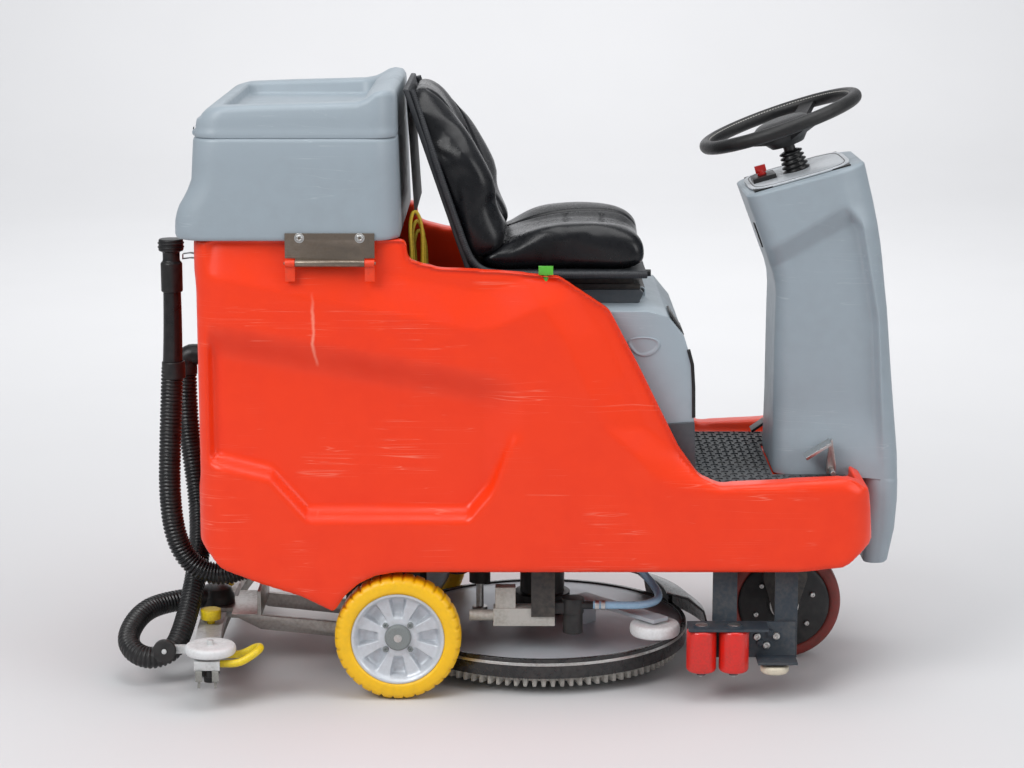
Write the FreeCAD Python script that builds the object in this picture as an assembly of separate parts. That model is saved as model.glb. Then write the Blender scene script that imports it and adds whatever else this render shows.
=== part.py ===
"""Ride-on scrubber dryer, built as one solid per piece.

Frame: +X is the way the machine drives, +Z is up, and the origin is on the floor under
the middle of the machine. Sizes are in millimetres.
"""
import FreeCAD, Part
import math
import os

V = FreeCAD.Vector
X, Y, Z = V(1, 0, 0), V(0, 1, 0), V(0, 0, 1)

# ---- driving dimensions --------------------------------------------------------------
body_length = 1323.0          # tub, from its rear face to its front corner
body_width = 650.0
squeegee_overhang = 97.0      # squeegee wheels behind the tub
column_overhang = 72.0        # steering column in front of the tub
tub_wall = 55.0               # double wall that holds the clean water
skin = 4.0                    # single-wall mouldings

rear_wheel_diameter = 250.0
rear_wheel_width = 60.0
front_wheel_diameter = 240.0
front_wheel_width = 90.0
arch_clearance = 11.0
axle_setback = 389.0          # tub's rear face to the rear axle
drive_setback = 146.0         # drive wheel to the tub's front corner
axle_radius = 10.0

rail_height = 39.0            # chassis rails under the tub floor
rail_width = 40.0
rail_setback = 105.0          # outer face of a rail to the tub's side
floor_thickness = 30.0
footwell_rise = 151.0         # tub's lower edge to the footwell floor
hump_rise = 582.0             # tub's lower edge to the top of its side walls
tub_rise = 655.0              # tub's lower edge to the rim under the recovery tank
cover_rise = 509.0            # tub's lower edge to the top of the battery cover

tank_height = 195.0
tank_depth = 393.0            # recovery tank along the machine
lid_height = 68.0
tray_depth = 33.0
tank_hinge_length = 171.0
hinge_pin_radius = 3.0

column_half_width = 140.0
steering_tilt = 19.6          # degrees, front of the wheel up
steering_radius = 157.0
steering_grip_radius = 13.5

deck_offset = 288.0           # rear axle to the brush centre
deck_margin = 25.0            # brush skirt inside the tub's side
deck_travel = 14.0
bristle_length = 34.0
bristle_floor_gap = 2.0       # bristles above the floor with the deck down

seat_width = 410.0
seat_travel = 120.0

squeegee_width = 800.0
squeegee_clearance = 50.0     # blades above the floor when raised
blade_height = 34.0
hose_radius = 22.0

gap = 0.3                     # between pieces that move past each other
running_fit = 0.05            # radial, shaft in hole

# ---- places worked out from them -----------------------------------------------------
half_width = body_width / 2
overall_length = squeegee_overhang + body_length + column_overhang
rear_x = squeegee_overhang - overall_length / 2
front_x = rear_x + body_length
axle_x = rear_x + axle_setback
axle_z = rear_wheel_diameter / 2
drive_x = front_x - drive_setback
drive_z = front_wheel_diameter / 2
deck_x = axle_x + deck_offset
deck_radius = half_width - deck_margin

skirt_z = max(rear_wheel_diameter, front_wheel_diameter + 10) + arch_clearance
floor_z = skirt_z + rail_height
bay_z = floor_z + floor_thickness
footwell_z = skirt_z + footwell_rise
hump_z = skirt_z + hump_rise
tub_top_z = skirt_z + tub_rise
cover_top_z = skirt_z + cover_rise
rail_y = half_width - rail_setback - rail_width
wheel_y = half_width - 5 - rear_wheel_width
tank_z = tub_top_z + gap
lid_z = tank_z + tank_height + gap
tank_front_x = rear_x + tank_depth
cover_front_x = axle_x + 583
column_rear_x = drive_x - 36
column_front_x = front_x + column_overhang
column_top_z = tub_top_z + 63
wheel_axis = V(-math.sin(math.radians(steering_tilt)), 0, math.cos(math.radians(steering_tilt)))
steering_centre = V(drive_x - 23, 0, column_top_z + 136)


# ---- shared shapes -------------------------------------------------------------------
def box(x, y, z):
    """Block between two values along each axis."""
    low = [min(pair) for pair in (x, y, z)]
    high = [max(pair) for pair in (x, y, z)]
    size = [b - a for a, b in zip(low, high)]
    return Part.makeBox(size[0], size[1], size[2], V(low[0], low[1], low[2]))


def rod(start, direction, radius, length):
    return Part.makeCylinder(radius, length, V(start[0], start[1], start[2]), direction)


def ring(start, direction, outer, inner, length):
    """Tube section with a through bore."""
    return rod(start, direction, outer, length).cut(rod(start, direction, inner, length))


def polygon_face(points):
    return Part.Face(Part.makePolygon(points + [points[0]]))


def plate(outline, y):
    """Side outline, a list of (x, z), carried across the machine between two y values."""
    face = polygon_face([V(px, min(y), pz) for px, pz in outline])
    return face.extrude(V(0, abs(y[1] - y[0]), 0))


def inset_plate(outline, wall, y):
    """The same outline drawn in by a wall thickness."""
    face = polygon_face([V(px, min(y), pz) for px, pz in outline])
    return face.makeOffset2D(-wall).extrude(V(0, abs(y[1] - y[0]), 0))


def rounded_block(x, y, z, radius):
    """Block whose four upright corners are rounded."""
    block = box(x, y, z)
    upright = [e for e in block.Edges if abs(e.tangentAt(e.FirstParameter).z) > 0.9]
    return block.makeFillet(radius, upright)


def turned(profile, centre, axis, angle=360):
    """Profile of (radius, height) points turned about an axis through the centre."""
    face = polygon_face([V(r, 0, h) for r, h in profile])
    shape = face.revolve(V(0, 0, 0), Z, angle)
    shape.Placement = FreeCAD.Placement(V(centre[0], centre[1], centre[2]), FreeCAD.Rotation(Z, axis))
    return shape


def joined(first, *others):
    return first.multiFuse(list(others)).removeSplitter()


def tube_along(points, radius):
    """Tube on straight runs joined by tangent arcs; prints its length and bend radii."""
    corners = [V(*p) for p in points]
    edges, start, radii = [], corners[0], []
    for before, here, after in zip(corners, corners[1:], corners[2:]):
        inward, outward = before - here, after - here
        turn = math.pi - inward.getAngle(outward)
        reach = 0.45 * min(inward.Length, outward.Length)
        radii.append(reach / math.tan(turn / 2))
        inward.normalize()
        outward.normalize()
        first, last = here + inward * reach, here + outward * reach
        bisector = (inward + outward).normalize()
        middle = here + bisector * (radii[-1] / math.cos(turn / 2) - radii[-1])
        edges += [Part.LineSegment(start, first).toShape(), Part.Arc(first, middle, last).toShape()]
        start = last
    edges.append(Part.LineSegment(start, corners[-1]).toShape())
    path = Part.Wire(edges)
    heading = corners[1] - corners[0]
    section = Part.Wire(Part.makeCircle(radius, corners[0], heading))
    tube = path.makePipeShell([section], True, False)
    expected = math.pi * radius ** 2 * path.Length
    print("tube radius %.1f length %.0f volume ratio %.4f bends %s"
          % (radius, path.Length, tube.Volume / expected, [round(r) for r in radii]))
    return tube


# ---- tub and chassis -----------------------------------------------------------------
def tub_outline():
    """Side outline of the tub, from its rear top corner down, forward and back."""
    arch = skirt_z - axle_z
    arch_points = [(axle_x - arch * math.cos(math.radians(a)), axle_z + arch * math.sin(math.radians(a)))
                   for a in (24, 40, 56, 73, 90)]
    front_lip = footwell_z + 36
    return ([(rear_x, tub_top_z), (rear_x, skirt_z + 57), (rear_x + 47, skirt_z + 6),
             (rear_x + 124, skirt_z - 24), (rear_x + 199, skirt_z - 48)] + arch_points
            + [(drive_x, skirt_z), (front_x - 58, skirt_z + 10), (front_x, skirt_z + 57),
               (front_x - 14, front_lip + 10), (front_x - 30, front_lip + 20), (front_x - 62, front_lip),
               (cover_front_x + 46, footwell_z + 22), (cover_front_x + 7, footwell_z + 40),
               (cover_front_x - 33, footwell_z + 96), (axle_x + 472, footwell_z + 254),
               (axle_x + 413, footwell_z + 367), (axle_x + 317, hump_z), (axle_x + 202, hump_z + 12),
               (axle_x + 87, hump_z + 17), (axle_x + 25, hump_z + 33), (axle_x + 21, tub_top_z)])


latch_place = (axle_x + 290, -(half_width - tub_wall / 2))
latch_stem_radius = 5.0


def make_body_shell():
    inside = half_width - tub_wall
    tub = plate(tub_outline(), (-half_width, half_width))
    tub = tub.common(rounded_block((rear_x, front_x), (-half_width, half_width),
                                   (0, tub_top_z), 60))
    bay = box((rear_x + tub_wall, cover_front_x), (-inside, inside), (bay_z, tub_top_z + 1))
    footwell = box((cover_front_x, front_x - 34), (-inside, inside), (footwell_z, tub_top_z))
    column_slot = box((drive_x, front_x + 1), (-column_half_width - 1, column_half_width + 1),
                      (footwell_z, tub_top_z))
    underside = box((rear_x + 50, front_x - 34), (-(half_width - 40), half_width - 40), (0, floor_z))
    drive_well = box((drive_x - 150, front_x - 34), (-200, 200), (floor_z - 1, footwell_z - 15))
    hose_channel = box((rear_x - 1, rear_x + 25), (-170, 170), (skirt_z + 60, tub_top_z + 1))
    stem_hole = rod((latch_place[0], latch_place[1], hump_z - 30), Z,
                    latch_stem_radius + running_fit, 60)
    for cutter in (bay, footwell, column_slot, underside, drive_well, hose_channel, stem_hole):
        tub = tub.cut(cutter)
    return tub


hanger_bottom_z = skirt_z - 16        # underside of the plate that guides the brush deck
guide_radius = 8.0
guide_y = 110.0
actuator_x = deck_x - 130
kingpin_radius = 25.0
squeegee_pivot = (axle_x - 95, 72.0)
squeegee_pivot_radius = 8.0
pivot_plate_y = 92.0
valve_plate_y = -(half_width - 55)


def make_chassis_frame():
    rail = box((rear_x + 89, front_x - 74), (rail_y, rail_y + rail_width), (skirt_z + 1, floor_z))
    across = (-rail_y - 1, rail_y + 1)
    pieces = [rail, rail.mirror(V(0, 0, 0), Y)]
    for centre in (squeegee_pivot[0], axle_x, drive_x - 130):
        pieces.append(box((centre - 22, centre + 22), across, (skirt_z + 9, floor_z)))
    pieces.append(box((actuator_x - 40, deck_x + 60), (-rail_y - rail_width, rail_y + rail_width),
                      (hanger_bottom_z, skirt_z + 1)))
    pieces.append(box((drive_x - 88, drive_x + 72), across, (floor_z - 16, floor_z)))
    pieces.append(rod((drive_x, 0, floor_z - 16), Z, kingpin_radius + 14, 56))
    for side in (-1, 1):
        y = side * (rail_y + rail_width / 2)
        pieces.append(box((axle_x - 40, axle_x + 40), (y - 6, y + 6), (axle_z - 30, skirt_z + 2)))
        pieces.append(box((squeegee_pivot[0] - 20, squeegee_pivot[0] + 20),
                          (side * pivot_plate_y, side * (pivot_plate_y + 6)),
                          (squeegee_pivot[1] - 22, skirt_z + 10)))
    pieces.append(box((deck_x - 25, deck_x + 22), (valve_plate_y, valve_plate_y + 4),
                      (skirt_z - 104, skirt_z + 1)))
    pieces.append(box((deck_x - 25, deck_x + 22), (valve_plate_y, -rail_y), (skirt_z - 3, skirt_z + 1)))
    frame = joined(*pieces)
    holes = [rod((axle_x, -half_width, axle_z), Y, axle_radius, body_width),
             rod((drive_x, 0, floor_z - 17), Z, kingpin_radius + running_fit, 60),
             rod((squeegee_pivot[0], -half_width, squeegee_pivot[1]), Y,
                 squeegee_pivot_radius + running_fit, body_width)]
    for side in (-1, 1):
        holes.append(rod((deck_x, side * guide_y, hanger_bottom_z - 1), Z,
                         guide_radius + running_fit, 60))
    for hole in holes:
        frame = frame.cut(hole)
    return frame


def make_footwell_mat():
    half = half_width - tub_wall - 8
    mat = rounded_block((cover_front_x + 7, front_x - 38), (-half, half), (footwell_z, footwell_z + 6), 20)
    slot = box((column_rear_x - 2, front_x), (-column_half_width - 2, column_half_width + 2),
               (footwell_z - 1, footwell_z + 8))
    return mat.cut(slot)


# ---- batteries and their cover -------------------------------------------------------
seat_hinge = (axle_x + 486, cover_top_z + 11)
seat_hinge_radius = 4.0
seat_hinge_lug = 7.0


def make_battery_cover():
    half = half_width - tub_wall - 8
    front = cover_front_x
    outline = [(axle_x + 220, footwell_z), (axle_x + 220, cover_top_z), (front - 93, cover_top_z),
               (front - 56, cover_top_z - 10), (front - 23, cover_top_z - 50),
               (front - 6, cover_top_z - 104), (front, footwell_z + 87), (front + 5, footwell_z)]
    hollow_half = half - skin
    cover = plate(outline, (-half, half)).cut(inset_plate(outline, skin, (-hollow_half, hollow_half)))
    cover = cover.cut(box((axle_x + 219, front - skin), (-hollow_half, hollow_half),
                          (footwell_z - 1, footwell_z + skin + 1)))
    cover = cover.cut(box((axle_x + 219, axle_x + 221 + skin), (-hollow_half, hollow_half),
                          (footwell_z, cover_top_z - skin)))
    lugs = []
    for y in (-74, 62):
        lugs.append(rod((seat_hinge[0], y, seat_hinge[1]), Y, seat_hinge_lug, 12))
        lugs.append(box((seat_hinge[0] - seat_hinge_lug, seat_hinge[0] + seat_hinge_lug), (y, y + 12),
                        (cover_top_z - 1, seat_hinge[1])))
    bore = rod((seat_hinge[0], -100, seat_hinge[1]), Y, seat_hinge_radius + running_fit, 200)
    return joined(cover, *lugs).cut(bore)


def make_batteries():
    """Four deep-cycle blocks, two under the tank and two under the seat."""
    length, width, height = 240.0, 190.0, 270.0
    blocks = []
    for start in (rear_x + 90, axle_x + 270):
        for side in (-1, 1):
            y = side * (width / 2 + 5)
            block = box((start, start + length), (y - width / 2, y + width / 2), (bay_z, bay_z + height))
            posts = [rod((start + 30, y, bay_z + height), Z, 9, 16),
                     rod((start + length - 30, y, bay_z + height), Z, 9, 16)]
            blocks.append(joined(block, *posts))
    return Part.makeCompound(blocks)


def make_wiring():
    """Three cables that rise out of the bay behind the seat and drop back into it."""
    foot_z, top_z = hump_z - 120, hump_z + 122
    cables = []
    for number, y in enumerate((-205.0, -180.0, -155.0)):
        x = axle_x + 26 + 3 * number
        crown = top_z - 22 * number
        points = [(x, y, foot_z), (x, y, foot_z + 70), (x + 3, y, foot_z + 140), (x - 1, y, crown - 30),
                  (x + 9, y + 4, crown), (x + 24, y + 6, crown - 30), (x + 24, y + 6, crown - 100),
                  (x + 20, y + 4, foot_z + 60), (x + 20, y + 4, foot_z)]
        cables.append(tube_along(points, 3.5))
    clip = box((axle_x + 17, axle_x + 62), (-215, -140), (foot_z - 12, foot_z))
    post = box((axle_x + 17, axle_x + 62), (-(half_width - tub_wall), -215), (foot_z - 12, foot_z))
    return Part.makeCompound(cables + [joined(clip, post)])


# ---- steering column -----------------------------------------------------------------
def column_outline():
    rear, front, top = column_rear_x, column_front_x, column_top_z
    return [(rear, footwell_z), (rear + 2, top - 230), (rear - 2, top - 164), (rear - 64, top),
            (rear + 171, top + 67), (rear + 204, top - 75), (rear + 224, top - 230),
            (front - 3, footwell_z + 45), (front, skirt_z + 68), (front - 20, skirt_z - 30),
            (front_x + 4, skirt_z - 30), (front_x + 4, footwell_z)]


def on_column_top(along, across, rise):
    """Point on the sloping top, measured from its rear edge and square to it."""
    slope = math.atan2(67, 235)
    return (column_rear_x - 64 + along * math.cos(slope) - rise * math.sin(slope), across,
            column_top_z + along * math.sin(slope) + rise * math.cos(slope))


top_normal = V(-math.sin(math.atan2(67, 235)), 0, math.cos(math.atan2(67, 235)))
shaft_radius = 12.0
pedal_pin_radius = 5.0
accelerator_pin = (drive_x + 76, footwell_z + 20)
brake_pin = (drive_x - 18, footwell_z + 18)
key_place = on_column_top(48, 0, 0)


def on_steering_axis(distance):
    """Point a distance above the centre of the steering wheel, along its shaft."""
    return steering_centre + wheel_axis * distance


def make_column_cover():
    half = column_half_width
    outline = column_outline()
    outer = plate(outline, (-half, half))
    outer = outer.common(rounded_block((column_rear_x - 80, column_front_x), (-half, half),
                                       (0, column_top_z + 80), 30))
    shell = outer.cut(inset_plate(outline, skin, (-half + skin, half - skin)))
    shell = shell.cut(box((column_rear_x + 30, front_x - 34), (-half + 30, half - 30),
                          (footwell_z - 1, footwell_z + skin + 1)))
    shell = shell.cut(box((front_x + 4 + skin, column_front_x - 26), (-half + 30, half - 30),
                          (skirt_z - 31, skirt_z - 30 + skin + 1)))
    bearing = Part.makeCylinder(24, 60, on_steering_axis(-166), wheel_axis)
    shell = joined(shell, bearing.common(outer))
    pins = [rod((accelerator_pin[0], -half - 60, accelerator_pin[1]), Y, pedal_pin_radius, 62),
            rod((brake_pin[0], half - 2, brake_pin[1]), Y, pedal_pin_radius, 62)]
    shell = joined(shell, *pins)
    bore = Part.makeCylinder(shaft_radius + running_fit, 300, on_steering_axis(-320), wheel_axis)
    return shell.cut(bore)


def make_dash_panel():
    """Bezel plate on the sloping top and the block that carries the key switch."""
    def slab(x0, x1, half, rise, height):
        start = V(*on_column_top(x0, -half, rise))
        slope = FreeCAD.Rotation(Y, -math.degrees(math.atan2(67, 235)))
        block = Part.makeBox(x1 - x0, 2 * half, height)
        block.Placement = FreeCAD.Placement(start, slope)
        return block
    panel = slab(18, 215, column_half_width - 22, 0, 3)
    switch_block = slab(26, 74, 34, 3, 11)
    dash = joined(panel, switch_block)
    shaft_hole = Part.makeCylinder(30, 80, on_steering_axis(-150), wheel_axis)
    key_hole = Part.makeCylinder(5 + running_fit, 40, V(*on_column_top(48, 0, 0)), top_normal)
    return dash.cut(shaft_hole).cut(key_hole)


def make_key_switch():
    """Stem in the switch block, with a flat grip on top."""
    stem = Part.makeCylinder(5, 21, V(*on_column_top(48, 0, 3 + gap)), top_normal)
    grip = Part.makeBox(22, 8, 14, V(-11, -4, 0))
    grip.Placement = FreeCAD.Placement(V(*on_column_top(48, 0, 20)), FreeCAD.Rotation(Z, top_normal))
    collar = Part.makeCylinder(9, 5, V(*on_column_top(48, 0, 14 + gap)), top_normal)
    return joined(stem, grip, collar)


def make_column_bellows():
    """Five rubber folds round the steering shaft, standing on the column top."""
    folds = 5
    foot, pitch = -108.0, 9.0
    outside = []
    for fold in range(folds):
        radius = 28 - 1.6 * fold
        base = foot + fold * pitch
        outside += [(radius - 5, base), (radius, base + pitch * 0.3), (radius, base + pitch * 0.7)]
    outside.append((15, foot + folds * pitch))
    bore = shaft_radius + 2
    profile = outside + [(bore, foot + folds * pitch), (bore, foot)]
    return turned(profile, steering_centre, wheel_axis)


# ---- steering wheel ------------------------------------------------------------------
horn_radius = 30.0
horn_stem_radius = 6.0


def make_steering_rim():
    return Part.makeTorus(steering_radius, steering_grip_radius, steering_centre, wheel_axis)


def make_steering_hub():
    """Dished hub with three spokes, in one with the shaft below it."""
    dish = turned([(0, -52), (34, -50), (46, -36), (48, -24), (horn_radius + 6, -22),
                   (horn_radius + 6, -26), (0, -26)], steering_centre, wheel_axis)
    shaft = Part.makeCylinder(shaft_radius, 160, on_steering_axis(-200), wheel_axis)
    turn = FreeCAD.Rotation(Z, wheel_axis)
    spokes = []
    for angle in (90, 210, 330):
        reach = steering_radius - steering_grip_radius + 1
        bar = plate([(40, -38), (reach, -7), (reach, 3), (44, -26)], (-17, 17))
        bar.rotate(V(0, 0, 0), Z, angle + 90)
        bar.Placement = FreeCAD.Placement(steering_centre, turn).multiply(bar.Placement)
        spokes.append(bar)
    hub = joined(dish, shaft, *spokes)
    guide = Part.makeCylinder(horn_stem_radius + running_fit, 20, on_steering_axis(-42), wheel_axis)
    return hub.cut(make_steering_rim()).cut(guide)


def make_horn_button():
    """Centre pad on a stem that slides in the hub."""
    return turned([(0, -34), (horn_stem_radius, -34), (horn_stem_radius, -22), (horn_radius, -22),
                   (horn_radius, -16), (horn_radius - 8, -12), (0, -11)], steering_centre, wheel_axis)


# ---- pedals --------------------------------------------------------------------------
def make_pedal(pin, side, pad):
    """Flat pad on a bent arm that turns on a pin in the column's side."""
    near = side * (column_half_width + 8)
    far = side * (column_half_width + 52)
    arm_far = side * (column_half_width + 20)
    arm = plate([(pin[0] - 9, pin[1] - 9), (pin[0] + 9, pin[1] - 9), (pin[0] + 10, pin[1] + 12),
                 (pad[1][0] + 6, pad[1][1]), (pad[1][0], pad[1][1] - 8), (pin[0] - 9, pin[1] + 10)],
                (near, arm_far))
    tread = plate([pad[0], pad[1], (pad[1][0] + 2, pad[1][1] - 5), (pad[0][0] + 2, pad[0][1] - 5)],
                  (near, far))
    bore = rod((pin[0], min(near, far) - 1, pin[1]), Y, pedal_pin_radius + running_fit, 60)
    return joined(arm, tread).cut(bore)


def make_accelerator_pedal():
    x, z = accelerator_pin
    return make_pedal(accelerator_pin, -1, [(x - 54, z + 30), (x - 4, z + 62)])


def make_brake_pedal():
    x, z = brake_pin
    return make_pedal(brake_pin, 1, [(x - 38, z + 14), (x - 10, z + 34)])


# ---- rear wheels ---------------------------------------------------------------------
rim_radius = 92.0


def make_rear_axle():
    return rod((axle_x, -(half_width - 14), axle_z), Y, axle_radius, body_width - 28)


def make_rear_tyre(side):
    start = side * wheel_y
    outer = rear_wheel_diameter / 2
    width = rear_wheel_width
    profile = [(rim_radius, 0), (outer - 5, 0), (outer, 5), (outer, width - 5), (outer - 5, width),
               (rim_radius, width)]
    return turned(profile, (axle_x, start, axle_z), Y * side)


def make_rear_rim(side):
    """Cast wheel: barrel, dished web, hub and the cap over the axle's end."""
    width = rear_wheel_width
    bore = axle_radius + running_fit
    profile = [(bore, 2), (24, 2), (24, width - 22), (78, width - 22), (82, 2), (rim_radius, 2),
               (rim_radius, width - 2), (86, width - 2), (80, width - 10), (26, width - 10),
               (26, width + 1), (0, width + 1), (0, width - 6), (bore, width - 6)]
    return turned(profile, (axle_x, side * wheel_y, axle_z), Y * side)


# ---- drive wheel ---------------------------------------------------------------------
fork_plate_z = skirt_z + 7


def make_drive_fork():
    """Turntable, two cheeks and the kingpin that steers the drive wheel."""
    inner = front_wheel_width / 2 + 11
    turntable = rod((drive_x, 0, fork_plate_z - 12), Z, 78, 12)
    race = rod((drive_x, 0, fork_plate_z), Z, kingpin_radius + 12, floor_z - 16 - gap - fork_plate_z)
    kingpin = rod((drive_x, 0, fork_plate_z), Z, kingpin_radius, floor_z + 45 - fork_plate_z)
    sprocket = rod((drive_x, 0, floor_z + 40 + gap), Z, 62, 10)
    cheeks = []
    for side in (-1, 1):
        cheek = plate([(drive_x - 34, fork_plate_z), (drive_x - 46, drive_z + 60), (drive_x - 22, drive_z - 18),
                       (drive_x + 22, drive_z - 18), (drive_x + 46, drive_z + 60), (drive_x + 34, fork_plate_z)],
                      (side * inner, side * (inner + 8)))
        cheeks.append(cheek)
    axle = rod((drive_x, -inner - 12, drive_z), Y, axle_radius, 2 * inner + 24)
    return joined(turntable, race, kingpin, sprocket, axle, *cheeks)


def make_front_tyre():
    outer, width = front_wheel_diameter / 2, front_wheel_width
    profile = [(outer - 26, 0), (outer - 6, 0), (outer, 6), (outer, width - 6), (outer - 6, width),
               (outer - 26, width)]
    return turned(profile, (drive_x, -width / 2, drive_z), Y)


def make_front_wheel_hub():
    """Hub motor drum with a side plate on each face."""
    width = front_wheel_width
    bore = axle_radius + running_fit
    edge = front_wheel_diameter / 2 - 26
    profile = [(bore, -9), (34, -9), (34, -4), (edge - 8, -4), (edge, 0), (edge, width),
               (edge - 8, width + 4), (34, width + 4), (34, width + 9), (bore, width + 9)]
    return turned(profile, (drive_x, -width / 2, drive_z), Y)


# ---- brush deck ----------------------------------------------------------------------
bristle_z = deck_travel + bristle_floor_gap
disc_z = bristle_z + bristle_length
deck_plate_z = disc_z + 46            # flat crown of the deck cover
deck_rim_z = disc_z + 24
skirt_inner = deck_radius - 9
motor_shaft_radius = 10.0
roller_angle = -48.4
roller_reach = 334.0
roller_radius = 50.0


def around_deck(shape, angle):
    """Turn a shape that was drawn along +X from the brush centre."""
    shape.rotate(V(deck_x, 0, 0), Z, angle)
    return shape


def make_deck_cover():
    """Pressed steel cover, with the arm that carries the corner roller."""
    top = [(40, deck_plate_z), (150, deck_plate_z), (skirt_inner - 80, deck_plate_z - 12),
           (skirt_inner - 24, deck_rim_z + 3), (skirt_inner, deck_rim_z)]
    cover = turned(top + [(r, z - 3) for r, z in reversed(top)], (deck_x, 0, 0), Z)
    arm_z = deck_plate_z + 48
    post = box((deck_x + 112, deck_x + 142), (-20, 20), (deck_plate_z, arm_z + 8))
    arm = box((deck_x + 112, deck_x + roller_reach + 16), (-20, 20), (arm_z, arm_z + 8))
    pin = rod((deck_x + roller_reach, 0, arm_z - 33), Z, 6, 41)
    return Part.makeCompound([cover, around_deck(joined(post, arm, pin), roller_angle)])


def make_deck_roller():
    arm_z = deck_plate_z + 48
    roller = turned([(6 + running_fit, 0), (roller_radius - 9, 0), (roller_radius, 7), (roller_radius, 20),
                     (roller_radius - 8, 26), (6 + running_fit, 26)], (deck_x + roller_reach, 0, arm_z - 29), Z)
    return around_deck(roller, roller_angle)


def make_deck_skirt():
    """Rubber skirt round the cover, and the moulded fender at its front left."""
    band = ring((deck_x, 0, bristle_z + 22), Z, deck_radius, skirt_inner, deck_rim_z - bristle_z - 18)
    fender_top = [(deck_radius - 40, deck_rim_z + 56), (deck_radius + 6, deck_rim_z + 44),
                  (deck_radius + 40, deck_rim_z + 16), (deck_radius + 52, deck_rim_z - 30)]
    profile = fender_top + [(deck_radius + 48, deck_rim_z - 30), (deck_radius + 36, deck_rim_z + 14),
                            (deck_radius + 3, deck_rim_z + 40), (deck_radius - 40, deck_rim_z + 52)]
    fender = turned(profile, (deck_x, 0, 0), Z, 48)
    foot = box((deck_x + deck_radius - 6, deck_x + deck_radius + 4), (-5, 5), (deck_rim_z - 4, deck_rim_z + 43))
    foot.rotate(V(deck_x, 0, 0), Z, 24)
    return joined(band, fender, foot)


def make_brush_motor():
    """Geared motor standing on the cover, with its shaft through to the brush."""
    gearbox = rod((deck_x, 0, deck_plate_z), Z, 58, 40)
    motor = rod((deck_x, 0, deck_plate_z + 40), Z, 46, hanger_bottom_z - 12 - deck_plate_z - 40)
    spigot = rod((deck_x, 0, deck_plate_z - 3), Z, 40, 3)
    shaft = rod((deck_x, 0, disc_z + 14), Z, motor_shaft_radius, deck_plate_z - disc_z - 14)
    return joined(gearbox, motor, spigot, shaft)


def make_deck_guides():
    """Two guide rods and the actuator's rod, all standing on the cover."""
    rods = []
    for place in ((deck_x, -guide_y), (deck_x, guide_y), (actuator_x, 0)):
        top = floor_z - 12 if place[1] else skirt_z - 30
        flange = rod((place[0], place[1], deck_plate_z), Z, guide_radius + 8, 6)
        rods.append(joined(rod((place[0], place[1], deck_plate_z), Z, guide_radius, top - deck_plate_z), flange))
    return Part.makeCompound(rods)


def make_lift_actuator():
    """Upright actuator hung from the guide plate."""
    bottom = hanger_bottom_z - 90
    body = rod((actuator_x, 0, bottom), Z, 22, hanger_bottom_z - bottom)
    side_motor = rod((actuator_x - 46, 0, bottom + 20), Z, 20, hanger_bottom_z - bottom - 20)
    bridge = box((actuator_x - 46, actuator_x), (-14, 14), (bottom + 24, bottom + 50))
    bore = rod((actuator_x, 0, bottom - 1), Z, guide_radius + running_fit, 82)
    return joined(body, side_motor, bridge).cut(bore)


def make_brush_disc():
    hub_bore = motor_shaft_radius + running_fit
    disc = turned([(hub_bore, disc_z), (deck_radius - 18, disc_z), (deck_radius - 18, disc_z + 12),
                   (32, disc_z + 12), (32, disc_z + 34), (hub_bore, disc_z + 34)], (deck_x, 0, 0), Z)
    return disc


def make_brush_bristles():
    return ring((deck_x, 0, bristle_z), Z, deck_radius - 15, 140, bristle_length)


# ---- clean water parts ---------------------------------------------------------------
filter_x = deck_x + 58
filter_y = valve_plate_y + 16
filter_z = skirt_z - 84


def make_solenoid_valve():
    """Valve body with its coil, bolted to the plate that hangs from the rail."""
    inner = valve_plate_y + 4
    body = box((deck_x - 100, deck_x + 22), (inner, inner + 36), (skirt_z - 124, skirt_z - 88))
    coil = box((deck_x - 96, deck_x - 56), (inner + 4, inner + 32), (skirt_z - 88, skirt_z - 46))
    inlet = rod((deck_x - 148, inner + 18, skirt_z - 106), X, 11, 48)
    return joined(body, coil, inlet)


def make_water_filter():
    """Filter head and the clear cup that screws into it."""
    head = rod((filter_x, filter_y + 6, filter_z - 16), Z, 22, 30)
    inlet = box((deck_x + 22, filter_x), (filter_y - 6, filter_y + 16), (filter_z - 16, filter_z + 6))
    outlet = rod((filter_x, filter_y, filter_z), X, 8, 40)
    cup = rod((filter_x, filter_y + 6, filter_z - 57), Z, 20, 41)
    return Part.makeCompound([joined(head, inlet, outlet), cup])


def make_water_hose():
    """Clear hose from the filter round to the deck's spout."""
    z = filter_z
    points = [(filter_x + 40, filter_y, z), (filter_x + 90, filter_y, z), (filter_x + 142, filter_y + 4, z - 2),
              (filter_x + 176, filter_y + 34, z + 2), (filter_x + 168, filter_y + 78, z + 16),
              (filter_x + 140, filter_y + 96, z + 44), (filter_x + 122, filter_y + 84, skirt_z - 1)]
    return tube_along(points, 8.0)


# ---- side bumper rollers -------------------------------------------------------------
side_roller_radius = 30.0
side_roller_y = -(half_width - 9)
side_roller_x = (drive_x - 190, drive_x - 126)
disc_roller_x = drive_x - 45
bracket_y = -(half_width - 45)
bracket_top_z = skirt_z - 114


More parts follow.
